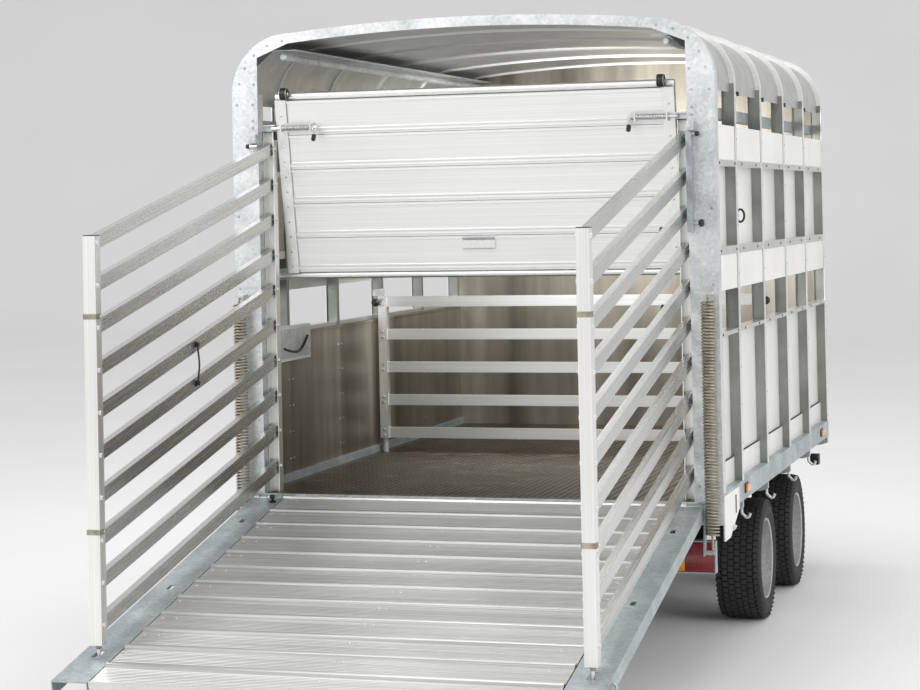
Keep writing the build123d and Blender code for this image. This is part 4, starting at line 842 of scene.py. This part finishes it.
# %% [markdown]
# ## The ramp gates
# Every bar ends in a bolt head that CAD already has. What CAD leaves out is small: yellow-passivated clamps
# on the end posts, plastic caps on the hinge posts, rubber buffers, and a rubber strap that ties two bars.

# %% Ramp gate fittings
POST_X, END_POST_Y, BAR_FACE = 842, -1677, 829
parts = []
for side in (-1, 1):
    x = side * POST_X
    for z in (790.0, 70.0):
        band = (z - 9, z + 9)
        parts.append((box_at((x - 24.5, x + 24.5), (-1702, -1699.2), band, 0.8), passivated))
        for edge in (-1, 1):
            cheek = (x + edge * 22.2, x + edge * 24.6)
            parts.append((box_at(cheek, (-1702, -1668), band, 0.8), passivated))
            parts.append((bar(at(x + edge * 24, -1675, z), at(x + edge * 29, -1675, z), 5, 6), bright))
    parts.append((bar(at(x, END_POST_Y, -322), at(x, END_POST_Y, -308), 10), passivated))
    parts.append((box_at((x - 21.5, x + 21.5), (-1698.5, -1656), (1059.8, 1063.0), 1.0), plastic))
piece("end_post_clamps", "gate_end_posts", parts)

parts = []
for side in (-1, 1):
    x = side * POST_X
    parts.append((box_at((x - 23.5, x + 23.5), (48.5, 95.5), (1448.2, 1450.6), 1.0), plastic))
    for edge in (-1, 1):
        cheek = (x + edge * 22.3, x + edge * 24.5)
        parts.append((box_at(cheek, (48.5, 95.5), (1418, 1450.6), 0.8), plastic))
piece("hinge_post_caps", "trailer", parts)
print("clamps and caps made")

# %% [markdown]
# Two rubber buffers stand on the inner face of the right gate, and a rubber strap with two eyes joins bars 5
# and 6 of the left one. Bar k turns about a pivot 142 mm below the one above it, and drops with the slope.

# %% Buffers and strap
TOP_PIVOT, BAR_PITCH, PIVOT_Y = 1381, 142, 72
BUFFER = [(0, 0), (0, 14), (3, 14), (4, 20), (13, 21), (16, 17), (16, 0)]
EYE = [(0, 0), (0, 11), (3, 12), (3, 6), (10, 6), (13, 9), (13, 0)]


def bar_height(number, y):
    """Height of a gate bar's middle at a place y along the ramp."""
    return TOP_PIVOT - BAR_PITCH * (number - 1) - (PIVOT_Y - y) * math.tan(SLOPE)


for number in (3, 5):
    z = bar_height(number, -300)
    buffer = turned(at(BAR_FACE, -300, z), at(813, -300, z), BUFFER)
    piece(f"gate_buffer_{number}", f"gate_bars_{number}", [(buffer, rubber)])

top, foot = bar_height(5, -800), bar_height(6, -800)
strap = bent([at(-822, -800, top + 6), at(-817, -802, top - 30), at(-815, -797, (top + foot) / 2),
              at(-818, -803, foot + 26), at(-822, -800, foot + 2)], 3.4)
parts = [(strap, rubber)]
for z in (top + 4, foot + 2):
    parts.append((turned(at(-BAR_FACE, -800, z), at(-816, -800, z), EYE), plastic))
piece("gate_strap", "gate_bars_5", parts)
print("buffer heights:", [round(bar_height(n, -300)) for n in (3, 5)])

# %% [markdown]
# ## The portal
# The door portal is a galvanised plate frame. Its upper corners are gussets held by rivets, and small
# galvanised boxes on its posts receive the pins of the gates.

# %% Portal fittings
parts = []
for side in (-1, 1):
    corner = [at(side * x, 4, z) - at(0, 4, 0) for x, z in ((865.8, 1716), (865.8, 1746.5), (800, 1772))]
    parts.append((pulled(corner, at(0, 4, 0), at(0, 12, 0)), plastic))
    parts.append((box_at((side * 869, side * 897), (-24, -0.2), (1404, 1440), 1.5), zinc))
    parts.append((bar(at(side * 866, -12, 1392), at(side * 900, -12, 1392), 7), bright))
    parts.append((bar(at(side * 899, -12, 1392), at(side * 914, -12, 1392), 9), plastic))
SMALL_KNOB = [(0, 0), (0, 8), (6, 14), (14, 14), (20, 8), (20, 0)]
parts.append((box_at((867, 889), (-42, -0.2), (1020, 1400), 2.0), dull_zinc))    # the latch housing
parts.append((bar(at(888, -8, 1054), at(908, -8, 1054), 5), bright))
parts.append((turned(at(905, -8, 1054), at(925, -8, 1054), SMALL_KNOB), plastic))
parts.append((bar(at(879, -22, 1085), at(879, -22, 1125), 8), passivated))
piece("portal_fittings", "trailer", parts)

spots = []
for side in (-1, 1):
    for angle in (math.radians(12 + 18 * k) for k in range(5)):
        spots.append((at(side * (735 + 212 * math.cos(angle)), 0, 1600 + 212 * math.sin(angle)), BACK))
    for x, z in ((887, 1494), (887, 1466), (887, 1560), (880, 1640), (955, 1560), (887, 60), (955, 60)):
        spots.append((at(side * x, 0, z), BACK))
    for z in range(240, 1400, 290):
        spots.append((at(side * 955, 0, z), BACK))
repeat("portal_rivets", "trailer", spots, dome(5.5, 2.6), dull_zinc)
print("portal rivets:", len(spots))

# %% [markdown]
# ## Inside the body
# A smooth lining covers the lower wall between the floor and the sill, so that animals can't catch a leg on
# the posts. Each bay has its own sheet, riveted along its edges, with a bead pressed along its top.

# %% Wall lining
posts = [473.0 + 655.6 * i for i in range(5)]
parts, spots = [], []
edges = [62.0, *posts[:-1], 3090.0]
for side in (-1, 1):
    for start, end in zip(edges, edges[1:]):
        parts.append((box_at((side * 916, side * 919), (start + 1, end - 1), (33, 616), 1.0), lining))
        parts.append((box_at((side * 912, side * 916), (start + 1, end - 1), (604, 616), 1.5), lining))
        for y in (start + 22, end - 22):
            for z in (90, 200, 310, 420, 530):
                spots.append((at(side * 916, y, z), Vector((-side, 0, 0))))
piece("wall_lining", "trailer", parts)
repeat("lining_rivets", "trailer", spots, dome(5.0, 2.2), bright)
print("lining rivets:", len(spots))

# %% [markdown]
# On the left wall hangs a small white locker panel with a black curved pull. Two galvanised rails run under
# the roof, and black knobs lock the division gate to its posts.

# %% Locker panel, roof rails and corner knobs
KNOB = [(0, 0), (0, 12), (5, 18), (16, 18), (24, 10), (26, 0)]
pull = [at(-880, 300, 560), at(-879, 420, 535), at(-879, 520, 545), at(-880, 590, 600)]
parts = [(box_at((-914, -884), (250, 640), (505, 650), 4.0), white),
         (box_at((-884.5, -882.5), (262, 628), (517, 638), 1.0), zinc),
         (bent(pull, 5.0), plastic)]
for x in (-780, 780):
    parts.append((bar(at(x, 70, 1752), at(x, 3080, 1752), 15), zinc))
    parts.append((box_at((x - 60, x + 60), (70, 3080), (1776, 1779), 1.0), zinc))
for x in (-905, 905):
    parts.append((turned(at(x, 1626, 694), at(x, 1600, 694), KNOB), plastic))
piece("inside_fittings", "trailer", parts)

spots = [(at(side * 876, 1630, 90 + 152 * k + step), BACK)
         for side in (-1, 1) for k in range(5) for step in (-13, 13)]
repeat("division_bolts", "division_gate", spots, hexagon(7.0, 5.0), bright)
print("division gate bolts:", len(spots))

# %% [markdown]
# ## The side walls
# Between the posts, each bay has a lower panel, a vent with its flap, an upper panel and a second vent under
# the roof. Hinge pins, drain plugs and latches show as small dark dots on the rails.

# %% Side wall fittings
RIVET_HEIGHTS = (60, 180, 330, 480, 600, 700, 850, 945, 1040, 1200, 1282, 1380, 1480)
HINGE_HEIGHTS = (626, 945, 1282)
TIP = [(0, 0), (0, 8), (4, 10), (14, 10), (18, 6), (18, 0)]
parts, spots, hinge_spots = [], [], []
for side in (-1, 1):
    out = Vector((side, 0, 0))
    for i, y in enumerate(posts):
        for z in RIVET_HEIGHTS:
            spots.append((at(side * 975, y + 9, z), out))
        if i < 4:
            parts.append((bar(at(side * 962, y + 34, 1432), at(side * 962, y + 34, 1482), 5, 10), bright))
            parts.append((turned(at(side * 962, y + 34, 1478), at(side * 962, y + 34, 1496), TIP, 12),
                          plastic))
            parts.append((box_at((side * 955, side * 962), (y + 150, y + 178), (1556, 1574), 1.5), plastic))
    for start, end in zip([60.0, *posts[:-1]], posts):
        middle = (start + end) / 2
        for y in (middle - 180, middle + 180):
            hinge_spots += [(at(side * 972, y, z), out) for z in HINGE_HEIGHTS]
    ring = [at(side * (950 + 16 * math.cos(t)), 690, 1075 + 26 * math.sin(t)) for t in
            (math.pi * (0.1 + 1.8 * k / 12) + math.pi for k in range(13))]
    parts.append((bent(ring, 4.5), plastic))
    parts.append((bar(at(side * 932, 690, 1075), at(side * 944, 690, 1075), 8), bright))
    parts.append((box_at((side * 929.2, side * 932), (585, 735), (1040, 1108), 1.0), zinc))
    plate = [Vector((0, y, z)) / 1000 for y, z in ((6, 22), (6, -147), (125, -147), (345, -62), (345, 22))]
    parts.append((pulled(plate, at(side * 975.2, 0, 0), at(side * 978.2, 0, 0)), white))
    parts.append((box_at((side * 978.0, side * 979.4), (250, 272), (-70, 0), 0.4), plastic))
    parts.append((box_at((side * 930, side * 972), (2735, 2792), (-150, -100), 4.0), plastic))
piece("side_fittings", "trailer", parts)
repeat("post_rivets", "trailer", spots, dome(4.5, 2.0), dull_zinc)
repeat("rail_pins", "trailer", hinge_spots, dome(6.0, 3.0), plastic)
print("post rivets:", len(spots), "rail pins:", len(hinge_spots))

# %% [markdown]
# ## Lamps
# A moulded lens is one shell in two colours, with fine upright ribs that spread the light. The side markers
# are small amber lenses in black bases. Short fixed wires run from the back of each lamp.

# %% Lamp lenses
parts = []
for side in (-1, 1):
    for near, far, colour in ((776, 818, amber_lens), (819, 929, red_lens)):
        parts.append((box_at((side * near, side * far), (28, 52), (-266, -156), 2.5), colour))
        for rib in range(near + 6, far - 4, 8):
            parts.append((box_at((side * rib, side * (rib + 3)), (26.6, 29), (-258, -164), 0.6), colour))
    parts.append((box_at((side * 774.5, side * 930.5), (50, 65.5), (-267.5, -154.5), 1.0), plastic))
    for y in (posts[0] + 60, posts[-1] - 260):
        parts.append((box_at((side * 975.3, side * 979), (y - 40, y + 40), (-22, 16), 1.5), plastic))
        parts.append((box_at((side * 978, side * 988), (y - 34, y + 34), (-17, 11), 4.0), amber_lens))
piece("lamp_lenses", "trailer", parts, stands_for=["lamps"])

wires = []
for side in (-1, 1):
    for n, (x, dip) in enumerate(((800, -205), (850, -225), (885, -190))):
        run = [at(side * x, 62, -200), at(side * (x - 14), 84, dip - 40),
               at(side * (x - 60), 96, dip + 10), at(side * (x - 90), 100, -110)]
        wires.append((bent(run, 3.0 + n * 0.5), plastic))
piece("lamp_wires", "trailer", wires)
print("lamp lenses made")

# %% [markdown]
# ## Wheels
# A trailer tyre has seven rows of small rubber blocks round its tread. The carcass is turned from its section,
# and Geometry Nodes set the blocks round it, each row half a block out of step with the next. The rim is a
# dished steel disc with five nuts and ten vents; the vents are not cut, and black caps on them are painted shade.

# %% Tyres and rims
for wheel in wheels:
    low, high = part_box(f"{wheel}_tyre")
    middle = (low + high) / 2
    side = -1 if "left" in wheel else 1
    start = Vector((middle.x - side * 0.0975, middle.y, middle.z))
    end = Vector((middle.x + side * 0.0975, middle.y, middle.z))
    half = [(97.5, 249.0), (60, 248.5), (35, 247.5), (20, 244), (10, 238), (4, 228), (1, 214), (0.5, 205), (2.5, 202),
            (4, 188), (10, 176), (13, 170.5), (16, 168.6)]
    outline = [(s, r) for s, r in half[::-1]] + [(195 - s, r) for s, r in half[1:]] + [(16, 168.6)]
    piece(f"{wheel}_tyre_tread", f"{wheel}_wheel", [(turned(start, end, outline, 72), rubber)], 30,
          [f"{wheel}_tyre"])
    lug = block(Vector((-0.0117, -0.0117, -0.006)), Vector((0.0117, 0.0117, 0.0072)), 1.2)
    spots = []
    for row in range(-3, 4):
        for i in range(58):
            angle = 2 * math.pi * (i + 0.5 * (row % 2)) / 58
            radial = Vector((0, math.cos(angle), math.sin(angle)))
            aim = (radial + Vector((0.22 * (abs(row) == 3) * row / 3, 0, 0))).normalized()
            spots.append((middle + Vector((0.0262 * row, 0, 0)) + radial * (0.2492 - 0.003 * (abs(row) == 3)), aim))
    repeat(f"{wheel}_tread_blocks", f"{wheel}_wheel", spots, lug, rubber)

    face = middle.x + side * 0.02
    hub = Vector((face, middle.y, middle.z))
    ahead = Vector((face + side * 0.08, middle.y, middle.z))
    dish = turned(hub, ahead, [(13, 0), (13, 30), (12.5, 62), (24, 72), (30, 92), (22, 128), (14, 150), (20, 161),
                               (66, 163), (70, 170), (66, 172), (60, 168)], 64)
    cap = turned(hub, ahead, [(12, 0), (12, 29), (30, 28), (36, 22), (38, 0)], 32)
    piece(f"{wheel}_disc", f"{wheel}_wheel", [(dish, enamel), (cap, black_enamel)], 35)
    out = Vector((side, 0, 0))
    spots = [(hub + Vector((side * 0.0125, 0.049 * math.cos(t), 0.049 * math.sin(t))), out)
             for t in (2 * math.pi * i / 5 for i in range(5))]
    repeat(f"{wheel}_nuts", f"{wheel}_wheel", spots, hexagon(11.0, 16.0), bright)
    # black discs on the vents stand for the shade seen through their holes: painted shade, not enamel
    vent_shade_spots = [(hub + Vector((side * 0.0255, 0.108 * math.cos(t), 0.108 * math.sin(t))), out)
             for t in (2 * math.pi * (i + 0.5) / 10 for i in range(10))]
    repeat(f"{wheel}_vents", f"{wheel}_wheel", vent_shade_spots, dome(12.0, 1.2), black_enamel)
print("wheels:", len(wheels))

# %% [markdown]
# ## Ramp edges
# The ramp's side members carry the fittings that hold the folded ramp: a bent handle near the foot, and a
# ball catch near the hinge.

# %% Ramp edge fittings
parts = []
for side in (-1, 1):
    handle = [ramp_point(side * x, s, h) for x, s, h in ((900, 1690, -12), (922, 1700, -14), (926, 1760, -22),
                                                         (924, 1820, -24), (906, 1850, -22), (898, 1836, -14))]
    parts.append((bent(handle, 5.5), bright))
    parts.append((turned(ramp_point(side * 800, 70, 8), ramp_point(side * 800, 70, 40),
                         [(0, 0), (0, 14), (4, 14), (6, 5), (14, 5), (18, 11), (26, 11), (31, 4), (32, 0)]), plastic))
piece("ramp_edge_fittings", "gate_rails", parts)
print("ramp edge fittings made")

# %% Floor of the room
bpy.context.view_layer.update()
ground = bpy.data.meshes.new("studio_floor")
sweep = [(-30.0, 0.0), (22.0, 0.0), *[(22.0 + 6.0 * math.sin(t), 6.0 - 6.0 * math.cos(t))
                                      for t in (math.radians(6 * i) for i in range(1, 16))], (28.0, 26.0)]
ground.from_pydata([(x, y, z) for y, z in sweep for x in (-60, 60)], [],
                   [(2 * i, 2 * i + 1, 2 * i + 3, 2 * i + 2) for i in range(len(sweep) - 1)])
for polygon in ground.polygons:
    polygon.use_smooth = True
paper, tree, shader, place = finish("matt_backdrop_paper", Roughness=0.95)
grain = add(tree, "ShaderNodeTexNoise", {"Scale": 0.6, "Detail": 2.0}, {"Vector": place})
dress(tree, shader, [(0.3, "#e9e9e9"), (0.7, "#ececec")], grain.outputs["Fac"])
ground.materials.append(paper)
studio_floor = bpy.data.objects.new("studio_floor", ground)
bpy.context.scene.collection.objects.link(studio_floor)
